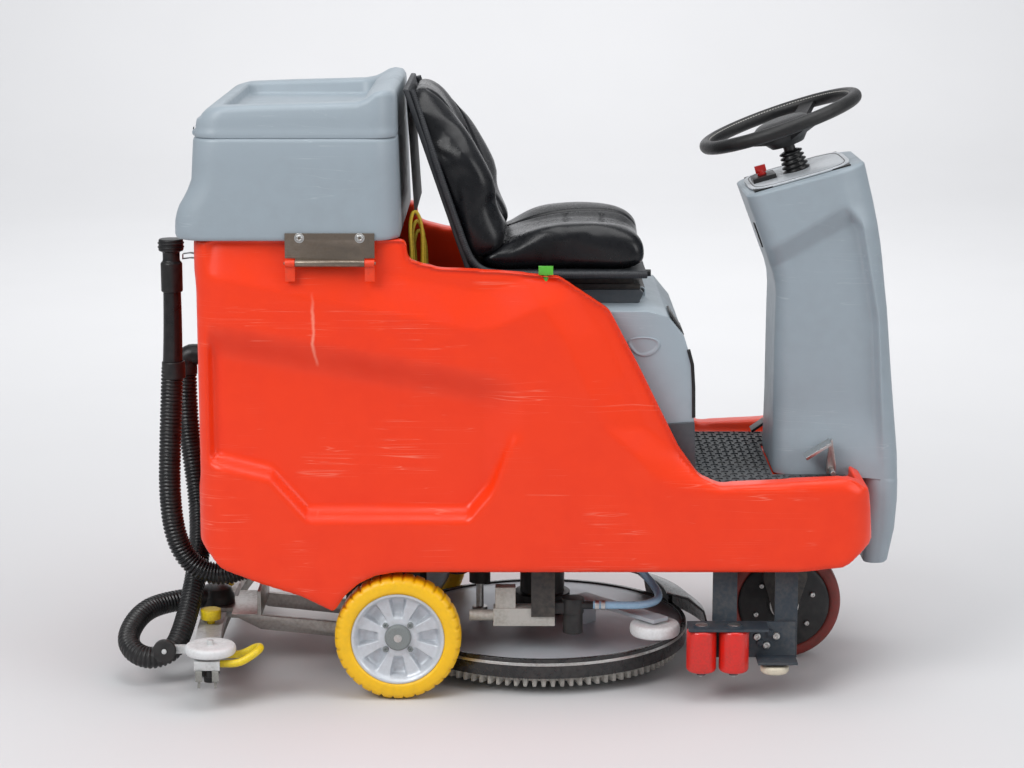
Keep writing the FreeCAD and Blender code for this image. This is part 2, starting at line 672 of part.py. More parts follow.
def make_side_bracket():
    """Two posts hung from the right rail, the plate across them and its two flanges."""
    shapes = []
    for start, end in ((drive_x - 166, drive_x - 118), (drive_x - 43, drive_x + 2)):
        shapes.append(box((start, end), (bracket_y, bracket_y + 10), (bracket_top_z - 70, skirt_z + 1)))
        shapes.append(box((start, end), (bracket_y, -rail_y), (skirt_z - 5, skirt_z + 1)))
    shapes.append(box((drive_x - 217, drive_x - 2), (bracket_y - 6, bracket_y), (bracket_top_z - 68, bracket_top_z + 5)))
    shapes.append(box((drive_x - 217, drive_x - 60), (side_roller_y - 26, bracket_y), (bracket_top_z, bracket_top_z + 5)))
    shapes.append(box((drive_x - 80, drive_x - 2), (side_roller_y - 24, bracket_y),
                      (bracket_top_z - 68, bracket_top_z - 63)))
    for x in side_roller_x:
        shapes.append(rod((x, side_roller_y, bracket_top_z - 94), Z, 6, 98))
        shapes.append(rod((x, side_roller_y, bracket_top_z + 4), Z, 17, 4))
        shapes.append(rod((x, side_roller_y, bracket_top_z - 94), Z, 9, 8))
    shapes.append(rod((disc_roller_x, side_roller_y, bracket_top_z - 92), Z, 5, 26))
    shapes.append(rod((disc_roller_x, side_roller_y, bracket_top_z - 94), Z, 9, 5))
    bracket = joined(*shapes)
    bolts = []
    for x, z in ((drive_x - 92, -18), (drive_x - 52, -18), (drive_x - 72, -38)):
        bolts.append(rod((x, bracket_y - 6, bracket_top_z + z), -Y, 6.5, 5))
    return Part.makeCompound([bracket] + bolts)


def make_side_roller(x):
    low = bracket_top_z - 86 + gap
    height = 86 - 2 * gap
    radius = side_roller_radius
    profile = [(6 + running_fit, 0), (radius - 4, 0), (radius, 4), (radius, height - 4),
               (radius - 4, height), (6 + running_fit, height)]
    return turned(profile, (x, side_roller_y, low), Z)


def make_bracket_disc():
    low = bracket_top_z - 89 + gap
    return turned([(5 + running_fit, 0), (25, 0), (28, 4), (28, 12), (25, 15), (5 + running_fit, 15)],
                  (disc_roller_x, side_roller_y, low), Z)


# ---- recovery tank -------------------------------------------------------------------
tank_half = half_width + 0.5
tank_rear_x = rear_x - 34
hinge_x = (rear_x + 181, rear_x + 181 + tank_hinge_length)
hinge_axis = (-(half_width + 8), tub_top_z - 41)
hinge_knuckle_radius = 7.0
knuckle_length = 19.0
lid_hinge = (rear_x - 4, lid_z - 4)
lid_lug_y = 140.0


def make_tank_hinge_leaf():
    """Two knuckles on tabs that are bolted to the tub's right side."""
    shapes = []
    for start in (hinge_x[0], hinge_x[1] - knuckle_length):
        span = (start, start + knuckle_length)
        knuckle = rod((start, hinge_axis[0], hinge_axis[1]), X, hinge_knuckle_radius, knuckle_length)
        tab = box(span, (hinge_axis[0] + 1, -half_width), (hinge_axis[1] - 35, hinge_axis[1] - 2))
        bore = rod((start - 1, hinge_axis[0], hinge_axis[1]), X, hinge_pin_radius + running_fit,
                   knuckle_length + 2)
        shapes.append(joined(knuckle, tab).cut(bore))
    return Part.makeCompound(shapes)


def make_tank_hinge_plate():
    """Stainless plate on the tank's side, with the middle knuckle, the pin and two screws."""
    middle = (hinge_x[0] + knuckle_length + 0.5, hinge_x[1] - knuckle_length - 0.5)
    depth = (-tank_half - 4, -tank_half)
    lower = hinge_axis[1] + hinge_knuckle_radius + 2
    face = box(hinge_x, depth, (lower, tub_top_z + 16))
    neck = box(middle, depth, (hinge_axis[1], lower + 1))
    knuckle = rod((middle[0], hinge_axis[0], hinge_axis[1]), X, hinge_knuckle_radius, middle[1] - middle[0])
    pin = rod((hinge_x[0] - 2, hinge_axis[0], hinge_axis[1]), X, hinge_pin_radius, tank_hinge_length + 4)
    screws = [rod((x, -tank_half - 4, tub_top_z + 7), -Y, 6, 2.5) for x in (hinge_x[0] + 28, hinge_x[1] - 28)]
    return joined(face, neck, knuckle, pin, *screws)


def lid_lug(y_from, y_to):
    """Lug round the lid's hinge pin."""
    lug = rod((lid_hinge[0], y_from, lid_hinge[1]), Y, 7, y_to - y_from)
    return lug


def make_recovery_tank():
    front = tank_front_x
    top = tank_z + tank_height
    outline = [(tank_rear_x, tank_z), (tank_rear_x, tank_z + 17), (rear_x - 11, tank_z + 96),
               (rear_x + 5, top), (front, top), (front + 6, tank_z)]
    outer = plate(outline, (-tank_half, tank_half))
    outer = outer.common(rounded_block((tank_rear_x, front + 6), (-tank_half, tank_half),
                                       (tank_z, top), 55))
    inner_half = tank_half - skin
    hollow = inset_plate(outline, skin, (-inner_half, inner_half))
    hollow = hollow.common(rounded_block((tank_rear_x + skin, front + 6 - skin), (-inner_half, inner_half),
                                         (tank_z, top), 51))
    mouth = rounded_block((rear_x + 30, front - 30), (-inner_half + 25, inner_half - 25),
                          (top - skin - 1, top + 1), 40)
    tank = outer.cut(hollow).cut(mouth)
    lugs = []
    for side in (-1, 1):
        for y in (side * (lid_lug_y - 15), side * (lid_lug_y + 15)):
            lugs.append(lid_lug(y - 5, y + 5))
            lugs.append(box((lid_hinge[0], rear_x + 9), (y - 5, y + 5), (lid_hinge[1] - 6, top)))
    tank = joined(tank, *lugs)
    bore = rod((lid_hinge[0], -200, lid_hinge[1]), Y, hinge_pin_radius + running_fit, 400)
    return tank.cut(bore)


def make_tank_lid():
    """Moulded lid with a tray pressed into its top and a raised lip at the front."""
    front, half = tank_front_x, tank_half - 3
    top = lid_z + lid_height
    outline = [(rear_x + 7, lid_z), (rear_x + 12, lid_z + 24), (rear_x + 34, top - 15), (rear_x + 60, top - 8),
               (front - 60, top), (front - 28, top + 22), (front - 8, top + 20), (front, top + 4),
               (front, lid_z)]
    outer = plate(outline, (-half, half))
    outer = outer.common(rounded_block((rear_x + 7, front), (-half, half), (lid_z, top + 30), 50))
    floor = top - tray_depth
    inner_half = half - 5
    hollow = rounded_block((rear_x + 17, front - 5), (-inner_half, inner_half), (lid_z - 1, floor - 5), 44)
    tray = rounded_block((rear_x + 62, front - 66), (-half + 62, half - 62), (floor, top + 40), 30)
    lid = outer.cut(hollow).cut(tray)
    pieces = []
    for side in (-1, 1):
        y = side * lid_lug_y
        pieces.append(lid_lug(y - 9.5, y + 9.5))
        pieces.append(box((lid_hinge[0], rear_x + 12), (y - 9.5, y + 9.5), (lid_z, lid_z + 9)))
        pieces.append(box((lid_hinge[0] - 7, lid_hinge[0] + 5), (y - 9.5, y + 9.5), (lid_hinge[1], lid_z + 9)))
        pieces.append(rod((lid_hinge[0], y - 20, lid_hinge[1]), Y, hinge_pin_radius, 40))
    return joined(lid, *pieces)


def make_suction_motor():
    """Vacuum turbine standing inside the front of the tank."""
    centre = (tank_front_x - 90, 150, tank_z + skin)
    return turned([(0, 0), (74, 0), (74, 55), (58, 62), (58, 130), (40, 142), (0, 142)], centre, Z)


# ---- seat ----------------------------------------------------------------------------
seat_base_top = cover_top_z + 36
slide_z = seat_base_top + 10
pan_z = slide_z + 10
pan_thickness = 14.0
shell_thickness = 10.0
cushion_z = pan_z + pan_thickness + gap
seat_rear_x = axle_x + 142
seat_front_x = axle_x + 488
lever_pin = (axle_x + 410, seat_base_top + 10)


def make_seat_base():
    """Tilting base plate with its hinge knuckle, pin and the lower slide rails."""
    base = box((axle_x + 160, seat_hinge[0] - seat_hinge_lug - gap), (-150, 150), (cover_top_z + gap, seat_base_top))
    knuckle = box((seat_hinge[0] - 9, seat_hinge[0] + 6), (-61, 61), (cover_top_z + 4, seat_hinge[1] + 6))
    pin = rod((seat_hinge[0], -80, seat_hinge[1]), Y, seat_hinge_radius, 160)
    rails = [box((axle_x + 160, seat_hinge[0] - 20), (side * 118, side * 142),
                 (seat_base_top, slide_z - gap)) for side in (-1, 1)]
    lugs = [box((lever_pin[0] - 6, lever_pin[0] + 6), (y, y + 6), (seat_base_top, lever_pin[1] + 5))
            for y in (-79, -62)]
    bore = rod((lever_pin[0], -90, lever_pin[1]), Y, 2.5 + running_fit, 40)
    return joined(base, knuckle, pin, *rails, *lugs).cut(bore)


def shell_x(z):
    """Rear face of the seat's back at a height."""
    return seat_rear_x - 2 - (z - pan_z) * 126 / 369


def make_seat_pan():
    """Upper slide rails and the pressed pan that carries both cushions."""
    top = pan_z + 369
    half = seat_width / 2
    bottom = box((seat_rear_x, seat_front_x), (-half, half), (pan_z, pan_z + pan_thickness))
    back = plate([(shell_x(pan_z), pan_z), (shell_x(pan_z) + shell_thickness, pan_z),
                  (shell_x(top) + shell_thickness, top), (shell_x(top), top)], (-half, half))
    rails = [box((seat_rear_x + 30, seat_front_x - 40 - seat_travel / 2), (side * 112, side * 148),
                 (slide_z, pan_z)) for side in (-1, 1)]
    return joined(bottom, back, *rails)


def make_seat_cushion():
    z, half = cushion_z, seat_width / 2
    outline = [(seat_rear_x + 22, z), (seat_front_x - 2, z), (seat_front_x + 9, z + 31),
               (seat_front_x - 3, z + 68), (seat_front_x - 55, z + 84), (seat_front_x - 106, z + 88),
               (seat_front_x - 240, z + 74), (seat_rear_x + 30, z + 60), (seat_rear_x + 18, z + 30)]
    return plate(outline, (-half, half))


def make_seat_back_cushion():
    base = cushion_z + 66
    behind = shell_thickness + gap
    outline = [(shell_x(base) + behind, base), (seat_rear_x, base), (seat_rear_x + 6, base + 16),
               (seat_rear_x + 28, base + 67), (seat_rear_x + 16, base + 110), (seat_rear_x - 7, base + 166),
               (seat_rear_x - 47, base + 263), (seat_rear_x - 86, base + 299), (seat_rear_x - 108, base + 296),
               (shell_x(base + 270) + behind, base + 270)]
    return plate(outline, (-seat_width / 2, seat_width / 2))


def make_seat_lever():
    """Slide release: a bar on a cross pin, with a knob ahead of the seat."""
    x, z = lever_pin
    bar = rod((x - 8, -67.5, z), X, 4, seat_front_x + 14 - x)
    knob = rod((seat_front_x + 2, -67.5, z), X, 7, 14)
    hub = rod((x, -72.5, z), Y, 6, 10)
    pin = rod((x, -80, z), Y, 2.5, 25)
    return joined(bar, knob, hub, pin)


def make_hood_latch():
    """Quarter-turn latch on the tub's right shoulder."""
    x, y = latch_place
    head_z = hump_z + 5
    stem = rod((x, y, hump_z - 28), Z, latch_stem_radius, head_z - hump_z + 30)
    grip = box((x - 14, x + 14), (y - 6, y + 6), (head_z, head_z + 16))
    return joined(stem, grip)


# ---- squeegee ------------------------------------------------------------------------
swivel_x = rear_x - 3
squeegee_z = squeegee_clearance + blade_height      # underside of the casting
casting_height = 18.0
port_radius = 26.0
dome_radius = 38.0
bow_radius = 3200.0
casting_width = 50.0
arm_plate_z = squeegee_z + casting_height + gap
spigot_direction = V(-math.cos(math.radians(30)), -math.sin(math.radians(30)), 0)
spigot_z = arm_plate_z + hose_radius + 2
port_end = V(swivel_x, 0, spigot_z) + spigot_direction * 62


def bow_x(y):
    """Centre line of the squeegee, which bows rearward at its middle."""
    return swivel_x + bow_radius - math.sqrt(bow_radius ** 2 - y ** 2)


def bowed_strip(half_length, offset, width, z):
    """Strip that follows the bow: a sector of a flat ring."""
    centre_x = swivel_x + bow_radius
    outer = rod((centre_x, 0, z[0]), Z, bow_radius - offset + width / 2, z[1] - z[0])
    inner = rod((centre_x, 0, z[0]), Z, bow_radius - offset - width / 2, z[1] - z[0])
    window = box((swivel_x - 200, swivel_x + 200), (-half_length, half_length), z)
    return outer.cut(inner).common(window)


def make_squeegee_arm():
    """Welded arm: pivot rod, two beams and the plate that holds the suction port."""
    pivot_x, pivot_z = squeegee_pivot
    beams = []
    for side in (-1, 1):
        y = (side * (pivot_plate_y - 14), side * (pivot_plate_y - 2))
        beams.append(plate([(pivot_x + 14, pivot_z - 16), (pivot_x + 14, pivot_z + 16),
                            (swivel_x + 70, arm_plate_z + 8), (swivel_x + 40, arm_plate_z + 8),
                            (swivel_x + 40, arm_plate_z), (swivel_x + 54, arm_plate_z),
                            (swivel_x + 100, arm_plate_z - 24)], y))
    cross = box((swivel_x + 40, swivel_x + 102), (-pivot_plate_y + 2, pivot_plate_y - 2),
                (arm_plate_z, arm_plate_z + 8))
    upright = box((swivel_x + 94, swivel_x + 102), (-pivot_plate_y + 2, pivot_plate_y - 2),
                  (arm_plate_z, arm_plate_z + 56))
    tongue = box((swivel_x, swivel_x + 60), (-46, 46), (arm_plate_z, arm_plate_z + 8))
    pivot = rod((pivot_x, -pivot_plate_y - 12, pivot_z), Y, squeegee_pivot_radius, 2 * pivot_plate_y + 24)
    arm = joined(*beams, cross, upright, tongue, pivot)
    return arm.cut(rod((swivel_x, 0, arm_plate_z - 1), Z, dome_radius, 12))


wheel_arm_y = 280.0
squeegee_wheel = (rear_x - squeegee_overhang + 23, squeegee_z + 10)
squeegee_wheel_radius = 23.0


def make_squeegee_body():
    """Bowed casting with the swivel bore, wheel arms and roller pins."""
    half = squeegee_width / 2
    top = squeegee_z + casting_height
    shapes = [bowed_strip(half - 8, 0, casting_width, (squeegee_z, top)),
              rod((swivel_x, 0, squeegee_z), Z, port_radius + 12, casting_height)]
    for side in (-1, 1):
        y = side * wheel_arm_y
        shapes.append(box((squeegee_wheel[0], bow_x(y)), (y - 6, y + 6), (squeegee_z + 2, top)))
        shapes.append(rod((squeegee_wheel[0], y - 20, squeegee_wheel[1]), Y, 5, 40))
        end = side * (half - 50)
        shapes.append(rod((bow_x(end) + 8, end, top - 2), Z, 6, 34))
    casting = joined(*shapes)
    bore = rod((swivel_x, 0, squeegee_z - 1), Z, port_radius, casting_height + 14)
    return casting.cut(bore)


def make_squeegee_blades():
    """Front and rear rubber blades and the holder strips that clamp them."""
    half = squeegee_width / 2
    holder_low = squeegee_clearance + 14
    strips = []
    for offset in (-16, 16):
        blade = bowed_strip(half - 4, offset, 5, (squeegee_clearance, squeegee_z))
        holder = bowed_strip(half, offset, 13, (holder_low, squeegee_z))
        strips.append(joined(blade, holder))
    return Part.makeCompound(strips)


def make_suction_port():
    """Domed elbow whose stub is the swivel's pivot and turns the air path rearward."""
    low = arm_plate_z
    stub = rod((swivel_x, 0, squeegee_z + 2), Z, port_radius - running_fit, low - squeegee_z)
    dome = turned([(0, low), (dome_radius, low), (dome_radius, low + 22), (31, low + 40),
                   (16, low + 47), (0, low + 48)], (swivel_x, 0, 0), Z)
    spigot = rod((swivel_x, 0, spigot_z), spigot_direction, hose_radius, 62)
    return joined(stub, dome, spigot)


def make_squeegee_handles():
    """Two clamp knobs beside the swivel and a bent grip at each end."""
    top = squeegee_z + casting_height
    shapes = []
    for side in (-1, 1):
        y = side * 128
        knob = joined(rod((bow_x(y), y, top), Z, 8, 10), rod((bow_x(y), y, top + 10), Z, 21, 20))
        shapes.append(knob)
        y = side * (squeegee_width / 2 - 60)
        x, z = bow_x(y), squeegee_z + 8
        outer, inner = y + side * 30, y - side * 30
        route = [(bow_x(outer) + casting_width / 2 + 1.2, outer, z), (x + 66, outer, z), (x + 96, y + side * 26, z + 18),
                 (x + 108, y, z + 24), (x + 96, y - side * 26, z + 18), (x + 66, inner, z),
                 (bow_x(inner) + casting_width / 2 + 1.2, inner, z)]
        shapes.append(tube_along(route, 7.5))
    return Part.makeCompound(shapes)


def make_squeegee_roller(side):
    """White wall roller on the casting's end."""
    y = side * (squeegee_width / 2 - 50)
    low = squeegee_z + casting_height + 4
    profile = [(6 + running_fit, 0), (46, 0), (50, 5), (50, 15), (46, 20), (6 + running_fit, 20)]
    return turned(profile, (bow_x(y) + 8, y, low), Z)


def make_squeegee_wheels():
    """Support wheels, one behind each half of the squeegee."""
    wheels = []
    for side in (-1, 1):
        low = side * (wheel_arm_y + 6) + (gap if side > 0 else -gap - 12)
        wheels.append(ring((squeegee_wheel[0], low, squeegee_wheel[1]), Y, squeegee_wheel_radius,
                           5 + running_fit, 12))
    return Part.makeCompound(wheels)


# ---- hoses ---------------------------------------------------------------------------
drain_y = -130.0
drain_x = rear_x - 62
drain_outlet_x = rear_x + 148
drain_outlet_z = skirt_z - 38
suction_y = 55.0
suction_start_z = tub_top_z - 330


def make_drain_hose():
    """Drain hose: hangs from its clip at the rear and runs under the tub to its outlet."""
    y, x = drain_y, drain_x
    points = [(x, y, tub_top_z - 128), (x, y, tub_top_z - 220), (x - 6, y + 1, tub_top_z - 330),
              (x - 12, y, tub_top_z - 440), (x - 16, y - 1, tub_top_z - 540), (x - 7, y, tub_top_z - 632),
              (x + 24, y, skirt_z - 36), (x + 82, y, skirt_z - 60), (x + 146, y, drain_outlet_z),
              (drain_outlet_x, y, drain_outlet_z)]
    return tube_along(points, hose_radius)


def make_suction_hose():
    """Suction hose: down from its elbow on the tub's rear wall and round to the squeegee."""
    y, x, top = suction_y, rear_x, tub_top_z
    end, approach = port_end, port_end + spigot_direction * 64
    points = [(x - 62, y, suction_start_z), (x - 62, y, top - 424), (x - 50, y - 5, top - 520),
              (x - 38, y - 20, top - 610), (x - 32, y - 76, top - 684), (x - 38, y - 146, top - 748),
              (x - 49, y - 222, top - 806), (x - 66, y - 265, top - 846), (x - 108, y - 284, top - 860),
              (x - 150, y - 265, top - 850), (x - 167, y - 223, top - 830),
              (x - 148, y - 170, end.z - 10), (approach.x, approach.y, approach.z), (end.x, end.y, end.z)]
    return tube_along(points, hose_radius)


def make_hose_fittings():
    """Cap, cuff and clip of the drain hose, its outlet elbow, and the suction elbow."""
    low = tub_top_z - 128
    cuff = rod((drain_x, drain_y, low), Z, hose_radius, 60)
    neck = rod((drain_x, drain_y, low + 60), Z, 17, 22)
    cap = rod((drain_x, drain_y, low + 82), Z, 25, 24)
    arm = box((drain_x + 10, rear_x + 25), (drain_y - 12, drain_y + 12), (low + 64, low + 78))
    outlet = joined(rod((drain_outlet_x, drain_y, drain_outlet_z), X, hose_radius, 24),
                    rod((drain_outlet_x + 24, drain_y, drain_outlet_z - 24), Z, 24,
                        floor_z - drain_outlet_z + 24))
    elbow_z = suction_start_z + 40
    elbow = joined(rod((rear_x - 62, suction_y, suction_start_z), Z, hose_radius, 62),
                   rod((rear_x - 62, suction_y, elbow_z), X, hose_radius, 87))
    return Part.makeCompound([joined(cuff, neck, cap, arm), outlet, elbow])


# ---- every piece, in its own file ----------------------------------------------------
pieces = {
    "body_shell": make_body_shell(),
    "chassis_frame": make_chassis_frame(),
    "footwell_mat": make_footwell_mat(),
    "battery_cover": make_battery_cover(),
    "batteries": make_batteries(),
    "wiring": make_wiring(),
    "column_cover": make_column_cover(),
    "dash_panel": make_dash_panel(),
    "key_switch": make_key_switch(),
    "column_bellows": make_column_bellows(),
    "steering_rim": make_steering_rim(),
    "steering_hub": make_steering_hub(),
    "horn_button": make_horn_button(),
    "accelerator_pedal": make_accelerator_pedal(),
    "brake_pedal": make_brake_pedal(),
    "rear_axle": make_rear_axle(),
    "drive_fork": make_drive_fork(),
    "front_tyre": make_front_tyre(),
    "front_wheel_hub": make_front_wheel_hub(),
    "deck_cover": make_deck_cover(),
    "deck_roller": make_deck_roller(),
    "deck_skirt": make_deck_skirt(),
    "brush_motor": make_brush_motor(),
    "deck_guides": make_deck_guides(),
    "lift_actuator": make_lift_actuator(),
    "brush_disc": make_brush_disc(),
    "brush_bristles": make_brush_bristles(),
    "solenoid_valve": make_solenoid_valve(),
    "water_filter": make_water_filter(),
    "water_hose": make_water_hose(),
    "side_bracket": make_side_bracket(),
    "side_roller_rear": make_side_roller(side_roller_x[0]),
    "side_roller_front": make_side_roller(side_roller_x[1]),
    "bracket_disc": make_bracket_disc(),
    "tank_hinge_leaf": make_tank_hinge_leaf(),
    "tank_hinge_plate": make_tank_hinge_plate(),
    "recovery_tank": make_recovery_tank(),
    "tank_lid": make_tank_lid(),
    "suction_motor": make_suction_motor(),
    "seat_base": make_seat_base(),
    "seat_pan": make_seat_pan(),
    "seat_cushion": make_seat_cushion(),
    "seat_back_cushion": make_seat_back_cushion(),
    "seat_lever": make_seat_lever(),
    "hood_latch": make_hood_latch(),
    "squeegee_arm": make_squeegee_arm(),
    "squeegee_body": make_squeegee_body(),
    "squeegee_blades": make_squeegee_blades(),
    "suction_port": make_suction_port(),
    "squeegee_handles": make_squeegee_handles(),
    "squeegee_wheels": make_squeegee_wheels(),
    "drain_hose": make_drain_hose(),
    "hose_fittings": make_hose_fittings(),
    "suction_hose": make_suction_hose(),
}
for name, side in (("right", -1), ("left", 1)):
    pieces["rear_tyre_" + name] = make_rear_tyre(side)
    pieces["rear_rim_" + name] = make_rear_rim(side)
    pieces["squeegee_roller_" + name] = make_squeegee_roller(side)

os.makedirs("parts", exist_ok=True)
for name, shape in pieces.items():
    shape.exportStep("parts/" + name + ".step")
print(len(pieces), "pieces")
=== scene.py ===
import math
import bpy
import bmesh
import numpy as np
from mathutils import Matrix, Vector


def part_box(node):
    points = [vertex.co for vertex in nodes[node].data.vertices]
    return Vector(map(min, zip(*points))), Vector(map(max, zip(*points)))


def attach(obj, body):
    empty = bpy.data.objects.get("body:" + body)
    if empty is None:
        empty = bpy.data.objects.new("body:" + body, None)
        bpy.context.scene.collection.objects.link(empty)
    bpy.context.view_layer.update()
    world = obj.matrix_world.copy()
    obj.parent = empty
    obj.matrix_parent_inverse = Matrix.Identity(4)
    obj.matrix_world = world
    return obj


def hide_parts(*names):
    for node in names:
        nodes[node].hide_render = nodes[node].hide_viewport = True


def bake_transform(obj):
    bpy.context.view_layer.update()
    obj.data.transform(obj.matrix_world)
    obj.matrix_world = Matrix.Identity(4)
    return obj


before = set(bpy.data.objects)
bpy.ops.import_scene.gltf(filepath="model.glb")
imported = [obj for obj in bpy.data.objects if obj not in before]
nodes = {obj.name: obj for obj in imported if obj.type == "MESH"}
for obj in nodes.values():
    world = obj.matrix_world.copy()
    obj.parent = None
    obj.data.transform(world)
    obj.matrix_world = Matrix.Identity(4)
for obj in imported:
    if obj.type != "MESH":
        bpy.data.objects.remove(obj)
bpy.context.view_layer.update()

# ---- Studio ---------------------------------------------------------------------------
# A pale floor that sweeps up into a far backdrop, four large soft lamps and a pale sky, and
# the camera at a standing person's height off the machine's right side.
camera = bpy.data.objects.new("camera", bpy.data.cameras.new("camera"))
bpy.context.collection.objects.link(camera)
camera.location = (-0.035, -5.204, 1.611)
camera.rotation_euler = (math.pi / 2 - 0.1966, 0, 0)
camera.data.lens = 90.8
camera.data.sensor_width = 36
bpy.context.scene.camera = camera


def grid_object(name, points, close_across=False, close_along=False, caps=False):
    """Surface on a grid of points, an array of rows x columns x 3.

    close_across joins each row's last point to its first, close_along joins the last row
    to the first row, and caps closes both end rows with a fan on their middle point.
    """
    points = np.asarray(points, float)
    rows, columns = points.shape[:2]
    down = np.arange(rows if close_along else rows - 1)
    over = np.arange(columns if close_across else columns - 1)
    i, j = np.meshgrid(down, over, indexing="ij")
    i2, j2 = (i + 1) % rows, (j + 1) % columns
    quads = np.stack([i * columns + j, i * columns + j2, i2 * columns + j2, i2 * columns + j],
                     axis=-1).reshape(-1, 4)
    vertices = points.reshape(-1, 3)
    faces = quads.tolist()
    if caps:
        ring = np.arange(columns)
        following = (ring + 1) % columns
        for row, middle in ((0, len(vertices)), (rows - 1, len(vertices) + 1)):
            faces += np.stack([row * columns + ring, row * columns + following,
                               np.full(columns, middle)], axis=-1).tolist()
        vertices = np.vstack([vertices, points[0].mean(0), points[-1].mean(0)])
    mesh = bpy.data.meshes.new(name)
    mesh.from_pydata(vertices.tolist(), [], faces)
    shaped = bmesh.new()
    shaped.from_mesh(mesh)
    bmesh.ops.remove_doubles(shaped, verts=shaped.verts, dist=1e-6)
    bmesh.ops.recalc_face_normals(shaped, faces=shaped.faces)
    shaped.to_mesh(mesh)
    shaped.free()
    mesh.polygons.foreach_set("use_smooth", np.ones(len(mesh.polygons), bool))
    made = bpy.data.objects.new(name, mesh)
    bpy.context.collection.objects.link(made)
    return made


def plain_paint(name, colour, roughness):
    """Even matt paint with a faint cloudy change of tone, for the floor and the backdrop."""
    paint = bpy.data.materials.new(name)
    paint.use_nodes = True
    tree = paint.node_tree
    shader = tree.nodes["Principled BSDF"]
    place = tree.nodes.new("ShaderNodeTexCoord")
    clouds = tree.nodes.new("ShaderNodeTexNoise")
    clouds.inputs["Scale"].default_value = 1.3
    tone = tree.nodes.new("ShaderNodeMix")
    tone.data_type = "RGBA"
    tone.inputs["A"].default_value = (*colour, 1)
    tone.inputs["B"].default_value = (*[c * 0.95 for c in colour], 1)
    tree.links.new(place.outputs["Object"], clouds.inputs["Vector"])
    tree.links.new(clouds.outputs["Fac"], tone.inputs["Factor"])
    tree.links.new(tone.outputs["Result"], shader.inputs["Base Color"])
    shader.inputs["Roughness"].default_value = roughness
    return paint


spread = np.linspace(-26, 26, 12)
sweep = np.array([(-26, 0), (-12, 0), (0, 0), (6.5, 0), (7.8, 0.12), (8.6, 0.55), (9.0, 1.4), (9.1, 3), (9.1, 9)])
studio = grid_object("studio_sweep", np.stack([
    np.broadcast_to(spread[None, :], (9, 12)), np.broadcast_to(sweep[:, :1], (9, 12)),
    np.broadcast_to(sweep[:, 1:] - 0.0005, (9, 12))], axis=-1))
studio.modifiers.new("smooth", "SUBSURF").levels = 2
studio.modifiers["smooth"].render_levels = 2
studio.data.materials.append(plain_paint("studio_grey", (0.62, 0.62, 0.63), 0.75))
if studio.data.polygons[0].normal.z < 0:
    studio.data.flip_normals()

for name, place, aim, size, power in (("lamp_left", (-3.4, -3.6, 4.2), (0, 0, 0.5), 3.0, 205),
                                      ("lamp_top", (0.6, -0.6, 4.6), (0, 0, 0.5), 3.6, 115),
                                      ("lamp_right", (4.0, -2.6, 2.4), (0, 0, 0.5), 2.6, 60),
                                      ("lamp_backdrop", (0.0, 4.6, 5.6), (0, 10, 0.0), 6.0, 400)):
    lamp = bpy.data.objects.new(name, bpy.data.lights.new(name, "AREA"))
    bpy.context.collection.objects.link(lamp)
    lamp.data.size = size
    lamp.data.energy = power
    lamp.location = place
    away = np.array(place) - np.array(aim)
    lamp.rotation_euler = (math.acos(away[2] / np.linalg.norm(away)), 0, math.atan2(away[1], away[0]) + math.pi / 2)
bpy.context.scene.view_settings.view_transform = "Standard"
sky = bpy.data.worlds.new("sky")
bpy.context.scene.world = sky
sky.use_nodes = True
sky.node_tree.nodes["Background"].inputs["Color"].default_value = (0.93, 0.96, 1.0, 1)
sky.node_tree.nodes["Background"].inputs["Strength"].default_value = 0.42


# ---- Drain hose -------------------------------------------------------------------------
# Black corrugated hose that hangs from a clip on the tub's rear wall and runs back under
# the tub to an outlet elbow. Its upper end is a smooth moulded sleeve.
def socket(kind, name, group, value=None, in_out="INPUT"):
    """New socket on a node group."""
    made = group.interface.new_socket(name=name, in_out=in_out, socket_type=kind)
    if value is not None:
        made.default_value = value
    return made


